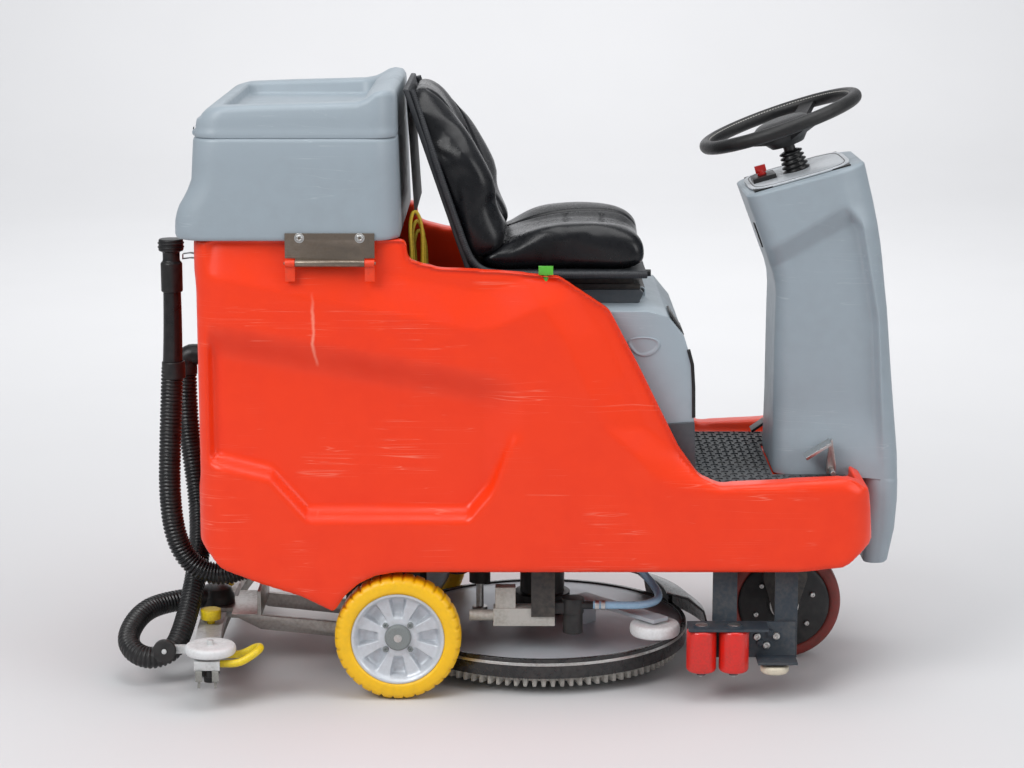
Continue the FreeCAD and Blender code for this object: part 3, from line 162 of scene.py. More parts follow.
def weathering_group():
    """Colour that drifts and soils: slow clouds of a second tone, and dirt that gathers low down.

    Tone = Colour mixed to Soil by Amount x cloud noise, plus Low x (1 - height / Reach).
    Rough rises with the soil.
    """
    group = bpy.data.node_groups.new("weathering", "ShaderNodeTree")
    for kind, name, value in (("NodeSocketVector", "Vector", None), ("NodeSocketColor", "Colour", (0.5, 0.5, 0.5, 1)),
                              ("NodeSocketColor", "Soil", (0.1, 0.09, 0.08, 1)), ("NodeSocketFloat", "Amount", 0.3),
                              ("NodeSocketFloat", "Scale", 6.0), ("NodeSocketFloat", "Low", 0.3),
                              ("NodeSocketFloat", "Reach", 0.3), ("NodeSocketFloat", "Gloss", 0.4)):
        socket(kind, name, group, value)
    socket("NodeSocketColor", "Colour", group, None, "OUTPUT")
    socket("NodeSocketFloat", "Roughness", group, None, "OUTPUT")
    add = group.nodes.new
    start, end = add("NodeGroupInput"), add("NodeGroupOutput")
    link = group.links.new
    clouds, specks = add("ShaderNodeTexNoise"), add("ShaderNodeTexNoise")
    for noise, detail in ((clouds, 6), (specks, 8)):
        noise.inputs["Detail"].default_value = detail
        link(start.outputs["Vector"], noise.inputs["Vector"])
    link(start.outputs["Scale"], clouds.inputs["Scale"])
    finer = add("ShaderNodeMath")
    finer.operation = "MULTIPLY"
    finer.inputs[1].default_value = 9
    link(start.outputs["Scale"], finer.inputs[0])
    link(finer.outputs[0], specks.inputs["Scale"])
    both = add("ShaderNodeMath")
    both.operation = "MULTIPLY"
    link(clouds.outputs["Fac"], both.inputs[0])
    link(specks.outputs["Fac"], both.inputs[1])
    spread = add("ShaderNodeMapRange")
    spread.inputs["From Min"].default_value = 0.18
    spread.inputs["From Max"].default_value = 0.42
    link(both.outputs[0], spread.inputs["Value"])
    amount = add("ShaderNodeMath")
    amount.operation = "MULTIPLY"
    link(spread.outputs["Result"], amount.inputs[0])
    link(start.outputs["Amount"], amount.inputs[1])
    split = add("ShaderNodeSeparateXYZ")
    link(start.outputs["Vector"], split.inputs[0])
    low = add("ShaderNodeMapRange")
    low.inputs["From Min"].default_value = 0.0
    low.inputs["To Min"].default_value = 1.0
    low.inputs["To Max"].default_value = 0.0
    link(split.outputs["Z"], low.inputs["Value"])
    link(start.outputs["Reach"], low.inputs["From Max"])
    soiled = add("ShaderNodeMath")
    soiled.operation = "MULTIPLY"
    link(low.outputs["Result"], soiled.inputs[0])
    link(specks.outputs["Fac"], soiled.inputs[1])
    strength = add("ShaderNodeMath")
    strength.operation = "MULTIPLY"
    link(soiled.outputs[0], strength.inputs[0])
    link(start.outputs["Low"], strength.inputs[1])
    total = add("ShaderNodeMath")
    total.use_clamp = True
    link(amount.outputs[0], total.inputs[0])
    link(strength.outputs[0], total.inputs[1])
    tone = add("ShaderNodeMix")
    tone.data_type = "RGBA"
    link(total.outputs[0], tone.inputs["Factor"])
    link(start.outputs["Colour"], tone.inputs["A"])
    link(start.outputs["Soil"], tone.inputs["B"])
    link(tone.outputs["Result"], end.inputs["Colour"])
    rough = add("ShaderNodeMath")
    rough.operation = "MULTIPLY_ADD"
    rough.inputs[1].default_value = 0.45
    rough.use_clamp = True
    link(total.outputs[0], rough.inputs[0])
    link(start.outputs["Gloss"], rough.inputs[2])
    link(rough.outputs[0], end.inputs["Roughness"])
    return group


def grain_group():
    """Height of a moulded skin: fine noise at Scale plus a slow waviness at a twentieth of it."""
    group = bpy.data.node_groups.new("grain", "ShaderNodeTree")
    socket("NodeSocketVector", "Vector", group)
    socket("NodeSocketFloat", "Scale", group, 400.0)
    socket("NodeSocketFloat", "Waves", group, 0.5)
    socket("NodeSocketFloat", "Height", group, None, "OUTPUT")
    start, end = group.nodes.new("NodeGroupInput"), group.nodes.new("NodeGroupOutput")
    fine, slow = group.nodes.new("ShaderNodeTexNoise"), group.nodes.new("ShaderNodeTexNoise")
    fine.inputs["Detail"].default_value = 3
    divided, mixed = group.nodes.new("ShaderNodeMath"), group.nodes.new("ShaderNodeMath")
    divided.operation = "MULTIPLY"
    divided.inputs[1].default_value = 0.05
    mixed.operation = "MULTIPLY_ADD"
    link = group.links.new
    for noise in (fine, slow):
        link(start.outputs["Vector"], noise.inputs["Vector"])
    link(start.outputs["Scale"], fine.inputs["Scale"])
    link(start.outputs["Scale"], divided.inputs[0])
    link(divided.outputs[0], slow.inputs["Scale"])
    link(slow.outputs["Fac"], mixed.inputs[0])
    link(start.outputs["Waves"], mixed.inputs[1])
    link(fine.outputs["Fac"], mixed.inputs[2])
    link(mixed.outputs[0], end.inputs["Height"])
    return group


weathering, grain = weathering_group(), grain_group()


def finish(name, colour, roughness, soil=(0.10, 0.09, 0.08), amount=0.3, scale=6.0, low=0.3, reach=0.3,
           grain_scale=400.0, waves=0.5, relief=0.08, metallic=0.0, coat=0.0, specular=0.5):
    """A finish of this machine: one colour, weathered and grained, read from the piece's own place."""
    made = bpy.data.materials.new(name)
    made.use_nodes = True
    tree = made.node_tree
    shader = tree.nodes["Principled BSDF"]
    place = tree.nodes.new("ShaderNodeTexCoord")
    worn, skin, bump = (tree.nodes.new("ShaderNodeGroup"), tree.nodes.new("ShaderNodeGroup"),
                        tree.nodes.new("ShaderNodeBump"))
    worn.node_tree, skin.node_tree = weathering, grain
    worn.name, skin.name, bump.name = "worn", "skin", "relief"
    for key, value in (("Colour", (*colour, 1)), ("Soil", (*soil, 1)), ("Amount", amount), ("Scale", scale),
                       ("Low", low), ("Reach", reach), ("Gloss", roughness)):
        worn.inputs[key].default_value = value
    skin.inputs["Scale"].default_value = grain_scale
    skin.inputs["Waves"].default_value = waves
    bump.inputs["Strength"].default_value = relief
    bump.inputs["Distance"].default_value = 0.002
    link = tree.links.new
    link(place.outputs["Object"], worn.inputs["Vector"])
    link(place.outputs["Object"], skin.inputs["Vector"])
    link(worn.outputs["Colour"], shader.inputs["Base Color"])
    link(worn.outputs["Roughness"], shader.inputs["Roughness"])
    link(skin.outputs["Height"], bump.inputs["Height"])
    link(bump.outputs["Normal"], shader.inputs["Normal"])
    shader.inputs["Metallic"].default_value = metallic
    shader.inputs["Coat Weight"].default_value = coat
    shader.inputs["Specular IOR Level"].default_value = specular
    return made


hose_rubber = finish("hose_rubber", (0.006, 0.006, 0.007), 0.26, soil=(0.05, 0.048, 0.046), amount=0.22, low=0.4,
                     reach=0.25, relief=0.03, specular=0.42)


def hose_line(name, route):
    """Smooth line through a route: a third-order NURBS with the route's points as control points."""
    curve = bpy.data.curves.new(name, "CURVE")
    curve.dimensions = "3D"
    curve.resolution_u = 24
    spline = curve.splines.new("NURBS")
    spline.points.add(len(route) - 1)
    spline.points.foreach_set("co", np.hstack([np.array(route), np.ones((len(route), 1))]).ravel())
    spline.order_u = 3
    spline.use_endpoint_u = True
    holder = bpy.data.objects.new(name, curve)
    bpy.context.collection.objects.link(holder)
    mesh = bpy.data.meshes.new_from_object(holder)
    line = np.empty(len(mesh.vertices) * 3)
    mesh.vertices.foreach_get("co", line)
    bpy.data.objects.remove(holder)
    return line.reshape(-1, 3)


def swept(name, line, radius_at, step, around=20):
    """Round tube along a line: at each step a ring of the radius there, square to the line.

    radius_at takes the distances along the line and gives the radii; the rings' frames are
    carried along without twist.
    """
    lengths = np.concatenate([[0], np.cumsum(np.linalg.norm(np.diff(line, axis=0), axis=1))])
    along = np.linspace(0, lengths[-1], max(int(lengths[-1] / step), 3))
    centres = np.stack([np.interp(along, lengths, line[:, k]) for k in range(3)], axis=1)
    heading = np.gradient(centres, axis=0)
    heading /= np.linalg.norm(heading, axis=1, keepdims=True)
    side = np.cross(heading[0], (0.31, 0.77, 0.55))
    sides = []
    for direction in heading:
        side = side - direction * np.dot(side, direction)
        side /= np.linalg.norm(side)
        sides.append(side)
    sides = np.array(sides)
    ups = np.cross(heading, sides)
    turn = np.linspace(0, 2 * np.pi, around, endpoint=False)
    radii = radius_at(along)[:, None, None]
    rings = centres[:, None] + radii * (np.cos(turn)[None, :, None] * sides[:, None]
                                        + np.sin(turn)[None, :, None] * ups[:, None])
    return grid_object(name, rings, close_across=True, caps=True), lengths[-1]


def ribs(radius, depth, pitch):
    """Corrugation: the radius falls by depth in a narrow groove once each pitch."""
    return lambda along: radius - depth * np.clip(np.cos(2 * np.pi * along / pitch) * 1.6 + 0.1, 0, 1)


drain_route = [(-0.711, -0.13, 0.788), (-0.711, -0.13, 0.696), (-0.717, -0.129, 0.586), (-0.723, -0.13, 0.476),
               (-0.727, -0.131, 0.376), (-0.718, -0.13, 0.284), (-0.687, -0.13, 0.225), (-0.629, -0.13, 0.201),
               (-0.565, -0.13, 0.223), (-0.501, -0.13, 0.223)]
drain_line = hose_line("drain_line", drain_route)
corrugated = ribs(0.0222, 0.0028, 0.0076)
sleeve_length = 0.155
drain_hose, _ = swept("drain_hose_ribbed", drain_line, lambda along: np.where(
    along < sleeve_length, 0.0178 + 0.002 * np.clip(along / sleeve_length, 0, 1), corrugated(along)), 0.0013)
drain_hose.data.materials.append(hose_rubber)
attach(drain_hose, "machine")
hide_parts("drain_hose")

# ---- Suction hose -----------------------------------------------------------------------
# The same ribbed hose, from an elbow on the tub's rear wall, down and round one tight turn
# above the floor into the squeegee's dome.
suction_route = [(-0.711, 0.055, 0.586), (-0.711, 0.055, 0.492), (-0.699, 0.050, 0.396), (-0.687, 0.035, 0.306),
                 (-0.681, -0.021, 0.232), (-0.687, -0.091, 0.168), (-0.698, -0.167, 0.110), (-0.715, -0.210, 0.070),
                 (-0.757, -0.229, 0.056), (-0.799, -0.210, 0.066), (-0.816, -0.168, 0.086),
                 (-0.797, -0.115, 0.1163), (-0.7611, -0.063, 0.1263), (-0.7057, -0.031, 0.1263)]
suction_line = hose_line("suction_line", suction_route)
suction_hose, _ = swept("suction_hose_ribbed", suction_line, ribs(0.0222, 0.0028, 0.0076), 0.0013)
suction_hose.data.materials.append(hose_rubber)
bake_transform(suction_hose)
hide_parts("suction_hose")

# ---- Hose fittings ----------------------------------------------------------------------
# Moulded black cap, neck and cuff that hold the drain hose up on its clip, and the two
# elbows where the hoses go into the tub. Injection moulded, a little shiny.
def ease(piece, width, segments=3, angle=35):
    """Rounds the edges of a machine-drawn shape: merges it, clears flat joins and bevels what is sharper than angle."""
    weld = piece.modifiers.new("merge", "WELD")
    weld.merge_threshold = 0.00002
    flat = piece.modifiers.new("clear_flats", "DECIMATE")
    flat.decimate_type = "DISSOLVE"
    flat.angle_limit = math.radians(0.6)
    bevel = piece.modifiers.new("ease", "BEVEL")
    bevel.limit_method = "ANGLE"
    bevel.angle_limit = math.radians(angle)
    bevel.width = width
    bevel.segments = segments
    bevel.use_clamp_overlap = True
    bevel.harden_normals = True
    piece.data.polygons.foreach_set("use_smooth", np.ones(len(piece.data.polygons), bool))
    piece.data.update()


def dress(node, material, width=0.0, segments=3):
    """Gives a machine-drawn node its finish and, with a width, rounded edges."""
    piece = nodes[node]
    for held in piece.material_slots:
        held.material = material
    if not len(piece.material_slots):
        piece.data.materials.append(material)
    if width:
        ease(piece, width, segments)
    return piece


def lathe(name, profile, centre, axis=(0, 0, 1), around=64, material=None, closed=False):
    """Solid of revolution: a profile of (radius, height) points turned about an axis through the centre."""
    profile = np.asarray(profile, float)
    axis = np.asarray(axis, float) / np.linalg.norm(axis)
    across_axis = np.cross(axis, (0, 0, 1.0) if abs(axis[2]) < 0.9 else (1.0, 0, 0))
    across_axis /= np.linalg.norm(across_axis)
    third = np.cross(axis, across_axis)
    turn = np.linspace(0, 2 * np.pi, around, endpoint=False)
    spokes = np.cos(turn)[:, None] * across_axis + np.sin(turn)[:, None] * third
    rings = (np.asarray(centre) + profile[:, None, :1] * spokes[None] + profile[:, None, 1:] * axis)
    made = grid_object(name, rings, close_across=True, close_along=closed, caps=not closed)
    if material:
        made.data.materials.append(material)
    return made


def rounded(profile, radius, steps=4):
    """A profile with its inner corners rounded: each corner becomes a short quadratic curve."""
    profile = np.asarray(profile, float)
    out = [profile[:1]]
    share = np.linspace(0, 1, steps + 1)[:, None]
    for before, corner, after in zip(profile, profile[1:], profile[2:]):
        a = corner + (before - corner) * min(radius / max(np.linalg.norm(before - corner), 1e-9), 0.48)
        b = corner + (after - corner) * min(radius / max(np.linalg.norm(after - corner), 1e-9), 0.48)
        out.append((1 - share) ** 2 * a + 2 * share * (1 - share) * corner + share ** 2 * b)
    out.append(profile[-1:])
    return np.vstack(out)


def gather(name, parts):
    """Joins parts of one piece into a single object."""
    for part in bpy.context.selected_objects:
        part.select_set(False)
    for part in parts:
        part.select_set(True)
    bpy.context.view_layer.objects.active = parts[0]
    bpy.ops.object.join()
    parts[0].name = name
    return parts[0]


moulded_black = finish("moulded_black", (0.008, 0.008, 0.009), 0.36, soil=(0.07, 0.066, 0.062), amount=0.22, low=0.35,
                       grain_scale=600, relief=0.08, specular=0.38)
cap = lathe("drain_cap", rounded([(0, 0.894), (0.024, 0.894), (0.025, 0.872), (0.0235, 0.870), (0.017, 0.868),
                                  (0.017, 0.850), (0.0215, 0.846), (0.0215, 0.788), (0, 0.788)], 0.003),
            (-0.711, -0.13, 0), around=40)
grooves = [lathe("cap_ring", [(0.0245, z), (0.0262, z + 0.001), (0.0262, z + 0.003), (0.0245, z + 0.004)],
                 (-0.711, -0.13, 0), around=40, closed=True) for z in (0.876, 0.884)]
cuff_ring = lathe("cuff_ring", rounded([(0.0205, 0.612), (0.0232, 0.614), (0.0232, 0.646), (0.0205, 0.648)], 0.002),
                  (-0.712, -0.13, 0), around=40, closed=True)
strap = grid_object("clip_strap", np.array([[(x, -0.13 + y, z) for y in (-0.011, 0.011)] for x, z in (
    (-0.688, 0.864), (-0.672, 0.866), (-0.652, 0.862), (-0.626, 0.862), (-0.626, 0.854), (-0.652, 0.854),
    (-0.672, 0.856), (-0.688, 0.854))]), close_along=True)
strap.modifiers.new("edge", "BEVEL").width = 0.001
elbow_line = np.array([(-0.711, 0.055, 0.586), (-0.711, 0.055, 0.612), (-0.7075, 0.055, 0.622), (-0.699, 0.055, 0.6265),
                       (-0.67, 0.055, 0.6265), (-0.628, 0.055, 0.6265)])
suction_elbow, _ = swept("suction_elbow", elbow_line, lambda along: 0.0215 + 0.002 * (along < 0.02)
                         + 0.004 * (np.abs(along - 0.078) < 0.006), 0.003, 32)
outlet, _ = swept("outlet_elbow", np.array([(-0.501, -0.13, 0.223), (-0.487, -0.13, 0.223), (-0.480, -0.13, 0.227),
                                            (-0.477, -0.13, 0.235), (-0.477, -0.13, 0.299)]),
                  lambda along: 0.0225 + 0.0015 * (along < 0.01), 0.003, 32)
fittings = gather("hose_fittings_moulded", [cap, *grooves, cuff_ring, strap, suction_elbow, outlet])
fittings.data.materials.clear()
fittings.data.materials.append(moulded_black)
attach(fittings, "machine")
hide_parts("hose_fittings")


# ---- Tub --------------------------------------------------------------------------------
# Rotationally moulded polyethylene tub that holds the clean water in its double wall. Its
# sides are pressed into long soft facets, and it is glossy, scuffed and scratched.
def remould(name, node, voxel, smoothing):
    """Copy of a node as one even skin with soft edges: merged, remeshed at the voxel size and smoothed."""
    copy = bpy.data.objects.new(name, nodes[node].data.copy())
    bpy.context.collection.objects.link(copy)
    shaped = bmesh.new()
    shaped.from_mesh(copy.data)
    bmesh.ops.remove_doubles(shaped, verts=shaped.verts, dist=1e-5)
    shaped.to_mesh(copy.data)
    shaped.free()
    skin = copy.modifiers.new("skin", "REMESH")
    skin.mode = "VOXEL"
    skin.voxel_size = voxel
    skin.use_smooth_shade = True
    if smoothing:
        soft = copy.modifiers.new("soft", "SMOOTH")
        soft.factor = 0.5
        soft.iterations = smoothing
    graph = bpy.context.evaluated_depsgraph_get()
    settled = bpy.data.meshes.new_from_object(copy.evaluated_get(graph))
    copy.modifiers.clear()
    copy.data = settled
    return copy


def step(value, start, end):
    """Smooth rise from 0 at start to 1 at end."""
    share = np.clip((value - start) / (end - start), 0, 1)
    return share * share * (3 - 2 * share)


tub = remould("tub_moulded", "body_shell", 0.0068, 5)
place = np.empty(len(tub.data.vertices) * 3)
tub.data.vertices.foreach_get("co", place)
place = place.reshape(-1, 3)
x, y, z = place.T
# The side's pressing, as a depth at each x and z: a leaning band along the top, an
# overhanging band that runs down forwards, a hollow below it, and a sill that comes out
# again along a line with two bends.
outer = step(np.abs(y), 0.312, 0.322)
shoulder = 0.852 - 0.204 * (x + 0.64) + 0.10 * step(x, -0.12, 0.10)
lean = 0.019 * np.clip((z - shoulder) / 0.075, 0, 1) * step(0.11 - x, 0.0, 0.08)
lip = 0.752 - 0.180 * (x + 0.633)
sill = np.interp(x, [-0.66, -0.504, -0.432, -0.120, -0.075, -0.035], [0.487, 0.448, 0.366, 0.366, 0.42, 0.52])
hollow = 0.030 * step(lip - z, -0.012, 0.064) * step(z - sill, -0.004, 0.026) * step(-0.005 - x, 0.0, 0.09)
crease = np.interp(z, [0.36, 0.49, 0.55, 0.73, 0.85], [0.30, 0.215, 0.145, 0.066, -0.02])
front_lean = 0.020 * np.clip((x - crease) / 0.08, 0, 1) * step(z, 0.42, 0.50)
waviness = 0.0006 * np.sin(x * 21 + z * 9) * np.sin(z * 17 - x * 5)
pressed = outer * (lean + hollow + front_lean + waviness)
# The rear wall is pressed the same way between its corners.
back = step(-x, 0.636, 0.644) * step(0.30 - np.abs(y), 0.0, 0.05)
rear_hollow = back * 0.007 * step(0.86 - z, 0, 0.05) * step(z - 0.42, 0, 0.04)
# The tub's front corners stand only a little above the floor of the footwell.
lowered = np.where(z > 0.412, 0.412 + (z - 0.412) * 0.35, z)
z = np.where(x > 0.60, z + (lowered - z) * step(x, 0.60, 0.66), z)
tub.data.vertices.foreach_set("co", np.stack([x + rear_hollow, y - np.sign(y) * pressed, z], axis=1).ravel())
tub.data.update()


def scratch_group():
    """Mask of thin drawn scratches: the zero lines of a noise stretched along the machine, broken up by clouds."""
    group = bpy.data.node_groups.new("scratches", "ShaderNodeTree")
    socket("NodeSocketVector", "Vector", group)
    socket("NodeSocketFloat", "Long", group, 3.0)
    socket("NodeSocketFloat", "Close", group, 90.0)
    socket("NodeSocketFloat", "Thin", group, 0.012)
    socket("NodeSocketFloat", "Mask", group, None, "OUTPUT")
    add, link = group.nodes.new, group.links.new
    start, end = add("NodeGroupInput"), add("NodeGroupOutput")
    stretch = add("ShaderNodeVectorMath")
    stretch.operation = "MULTIPLY"
    scale = add("ShaderNodeCombineXYZ")
    link(start.outputs["Long"], scale.inputs["X"])
    link(start.outputs["Long"], scale.inputs["Y"])
    link(start.outputs["Close"], scale.inputs["Z"])
    link(start.outputs["Vector"], stretch.inputs[0])
    link(scale.outputs[0], stretch.inputs[1])
    lines, clouds = add("ShaderNodeTexNoise"), add("ShaderNodeTexNoise")
    lines.inputs["Scale"].default_value = 1.0
    lines.inputs["Detail"].default_value = 2
    lines.inputs["Distortion"].default_value = 0.6
    clouds.inputs["Scale"].default_value = 7.0
    clouds.inputs["Detail"].default_value = 3
    link(stretch.outputs[0], lines.inputs["Vector"])
    link(start.outputs["Vector"], clouds.inputs["Vector"])
    middle = add("ShaderNodeMath")
    middle.operation = "SUBTRACT"
    middle.inputs[1].default_value = 0.5
    link(lines.outputs["Fac"], middle.inputs[0])
    size = add("ShaderNodeMath")
    size.operation = "ABSOLUTE"
    link(middle.outputs[0], size.inputs[0])
    near = add("ShaderNodeMapRange")
    near.inputs["From Min"].default_value = 0.0
    near.inputs["To Min"].default_value = 1.0
    near.inputs["To Max"].default_value = 0.0
    link(size.outputs[0], near.inputs["Value"])
    link(start.outputs["Thin"], near.inputs["From Max"])
    patch = add("ShaderNodeMapRange")
    patch.inputs["From Min"].default_value = 0.5
    patch.inputs["From Max"].default_value = 0.68
    link(clouds.outputs["Fac"], patch.inputs["Value"])
    both = add("ShaderNodeMath")
    both.operation = "MULTIPLY"
    link(near.outputs["Result"], both.inputs[0])
    link(patch.outputs["Result"], both.inputs[1])
    link(both.outputs[0], end.inputs["Mask"])
    return group


scratches = scratch_group()


def scratched(material, colour, strength, long=2.5, close=110.0, thin=0.014):
    """Lays pale drawn scratches over a finish: they lighten the colour by strength."""
    tree = material.node_tree
    link = tree.links.new
    lines = tree.nodes.new("ShaderNodeGroup")
    lines.node_tree = scratches
    lines.name = "lines"
    for key, value in (("Long", long), ("Close", close), ("Thin", thin)):
        lines.inputs[key].default_value = value
    coordinates = [node for node in tree.nodes if node.type == "TEX_COORD"][0]
    link(coordinates.outputs["Object"], lines.inputs["Vector"])
    weight = tree.nodes.new("ShaderNodeMath")
    weight.operation = "MULTIPLY"
    weight.inputs[1].default_value = strength
    link(lines.outputs["Mask"], weight.inputs[0])
    tone = tree.nodes.new("ShaderNodeMix")
    tone.data_type = "RGBA"
    tone.inputs["B"].default_value = (*colour, 1)
    link(weight.outputs[0], tone.inputs["Factor"])
    link(tree.nodes["worn"].outputs["Colour"], tone.inputs["A"])
    link(tone.outputs["Result"], tree.nodes["Principled BSDF"].inputs["Base Color"])
    return tone


tub_plastic = finish("tub_plastic", (0.84, 0.040, 0.004), 0.30, soil=(0.74, 0.026, 0.003), amount=0.4, scale=2.6,
                     low=0.25, reach=0.35, grain_scale=300, waves=3.0, relief=0.05, specular=0.38)
tone = scratched(tub_plastic, (0.98, 0.42, 0.30), 0.30, long=2.0, close=75, thin=0.010)
# One long pale rub runs down the right side where the tub has been dragged past an edge.
tree = tub_plastic.node_tree
split = tree.nodes.new("ShaderNodeSeparateXYZ")
tree.links.new(tree.nodes["Texture Coordinate"].outputs["Object"], split.inputs[0])
wander = tree.nodes.new("ShaderNodeTexNoise")
wander.inputs["Scale"].default_value = 9
wander.inputs["Detail"].default_value = 5
tree.links.new(tree.nodes["Texture Coordinate"].outputs["Object"], wander.inputs["Vector"])
offset = tree.nodes.new("ShaderNodeMath")
offset.operation = "MULTIPLY_ADD"
offset.inputs[1].default_value = 0.035
tree.links.new(wander.outputs["Fac"], offset.inputs[0])
tree.links.new(split.outputs["X"], offset.inputs[2])
apart = tree.nodes.new("ShaderNodeMath")
apart.operation = "ADD"
apart.inputs[1].default_value = 0.397
tree.links.new(offset.outputs[0], apart.inputs[0])
distance = tree.nodes.new("ShaderNodeMath")
distance.operation = "ABSOLUTE"
tree.links.new(apart.outputs[0], distance.inputs[0])
line_mask = tree.nodes.new("ShaderNodeMapRange")
line_mask.inputs["From Min"].default_value = 0.0006
line_mask.inputs["From Max"].default_value = 0.0042
line_mask.inputs["To Min"].default_value = 0.75
line_mask.inputs["To Max"].default_value = 0.0
tree.links.new(distance.outputs[0], line_mask.inputs["Value"])
masks = [line_mask.outputs["Result"]]
for axis, low, high, soft in (("Z", 0.37, 0.82, 0.05), ("Y", -0.40, -0.30, 0.005)):
    for edge, sign in ((low, 1), (high, -1)):
        ends = tree.nodes.new("ShaderNodeMapRange")
        ends.inputs["From Min"].default_value = edge
        ends.inputs["From Max"].default_value = edge + sign * soft
        tree.links.new(split.outputs[axis], ends.inputs["Value"])
        masks.append(ends.outputs["Result"])
for mask in masks[1:]:
    product = tree.nodes.new("ShaderNodeMath")
    product.operation = "MULTIPLY"
    tree.links.new(masks[0], product.inputs[0])
    tree.links.new(mask, product.inputs[1])
    masks[0] = product.outputs[0]
broken = tree.nodes.new("ShaderNodeMath")
broken.operation = "MULTIPLY"
tree.links.new(masks[0], broken.inputs[0])
tree.links.new(wander.outputs["Fac"], broken.inputs[1])
rub = tree.nodes.new("ShaderNodeMix")
rub.data_type = "RGBA"
rub.inputs["B"].default_value = (0.98, 0.45, 0.32, 1)
tree.links.new(broken.outputs[0], rub.inputs["Factor"])
tree.links.new(tone.outputs["Result"], rub.inputs["A"])
tree.links.new(rub.outputs["Result"], tree.nodes["Principled BSDF"].inputs["Base Color"])
tub.data.materials.clear()
tub.data.materials.append(tub_plastic)
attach(tub, "machine")
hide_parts("body_shell")

# ---- Recovery tank ----------------------------------------------------------------------
# Rotationally moulded tank for the dirty water, open at the top under its lid. Its rear
# wall flares out at the foot, and it tips on a steel hinge on its right side.
def rounded_rectangle(rear, front, half, corner, z, count=12):
    """Ring of points round a rectangle with arcs at its corners.

    Each corner is a quarter circle of the corner's radius, and each side has count more
    points, so that a later rule can bend it.
    """
    quarter = np.linspace(0, np.pi / 2, count)
    share = np.linspace(0, 1, count + 2)[1:-1, None]
    ring = []
    centres = ((front - corner, half - corner, 0), (rear + corner, half - corner, 1),
               (rear + corner, corner - half, 2), (front - corner, corner - half, 3))
    arcs = [np.stack([cx + corner * np.cos(quarter + turn * np.pi / 2),
                      cy + corner * np.sin(quarter + turn * np.pi / 2)], axis=1) for cx, cy, turn in centres]
    for arc, following in zip(arcs, arcs[1:] + arcs[:1]):
        ring += [arc, arc[-1] * (1 - share) + following[0] * share]
    ring = np.vstack(ring)
    return np.column_stack([ring, np.full(len(ring), z)])


def hull_rows(levels):
    """Rows for a moulded vessel: one rounded rectangle for each (rear, front, half, corner, z)."""
    return np.array([rounded_rectangle(*level) for level in levels])


grey_plastic = finish("grey_plastic", (0.285, 0.335, 0.375), 0.42, soil=(0.22, 0.25, 0.27), amount=0.22, scale=4.0,
                      low=0.0, grain_scale=700, waves=2.0, relief=0.10)
scratched(grey_plastic, (0.55, 0.60, 0.64), 0.30, long=3.0, close=60, thin=0.008)
heights = [0.9163, 0.9185, 0.925, 0.940, 0.952, 0.966, 0.980, 0.995, 1.010, 1.030, 1.06, 1.104, 1.1095, 1.1113]
rears = np.interp(heights, [0.9163, 0.925, 0.950, 0.975, 1.005, 1.030, 1.1113],
                      [-0.681, -0.683, -0.6825, -0.677, -0.659, -0.6495, -0.644])
walls = [(rear + inset, -0.250 - 0.006 * (z - 0.9163) / 0.195 - inset, 0.3255 - inset, 0.055, z)
         for z, rear, inset in zip(heights, rears, [0.005, 0.001] + [0] * 10 + [0.001, 0.004])]
mouth = [(-0.621, -0.284, 0.2985, 0.042, 1.1113), (-0.619, -0.286, 0.2965, 0.040, 1.1095),
         (-0.619, -0.286, 0.2965, 0.040, 1.108), (-0.636, -0.262, 0.3205, 0.05, 1.1073)]
inner = [(rear + 0.004, -0.255, 0.3215, 0.051, z) for z, rear in zip(heights[10:1:-1], rears[10:1:-1])]
tank = grid_object("tank_moulded", hull_rows(walls + mouth + inner + [(-0.66, -0.27, 0.30, 0.05, 0.9205)]),
                   close_across=True, caps=True)
lugs = []
for side in (-1, 1):
    for middle in (side * 0.125, side * 0.155):
        lugs.append(lathe("tank_lug", rounded([(0, middle - 0.005), (0.007, middle - 0.005), (0.007, middle + 0.005),
                                               (0, middle + 0.005)], 0.001), (-0.653, 0, 1.1076), (0, 1, 0), 24))
tank = gather("tank_moulded", [tank, *lugs])
tank.data.materials.clear()
tank.data.materials.append(grey_plastic)
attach(tank, "recovery_tank")
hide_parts("recovery_tank")

# ---- Tank lid ---------------------------------------------------------------------------
# Moulded lid with a tray pressed into its top and a lip raised along its front. It hinges
# on two lugs at the rear.
def lid_height(x):
    """Height of the lid's top surface at each x: it climbs from the rear, and bulges up at the front lip."""
    return np.interp(x, [-0.642, -0.630, -0.615, -0.59, -0.50, -0.33, -0.312, -0.296, -0.282, -0.266, -0.258, -0.254],
                     [1.150, 1.158, 1.1655, 1.171, 1.1745, 1.1790, 1.185, 1.197, 1.2012, 1.2000, 1.195, 1.186])


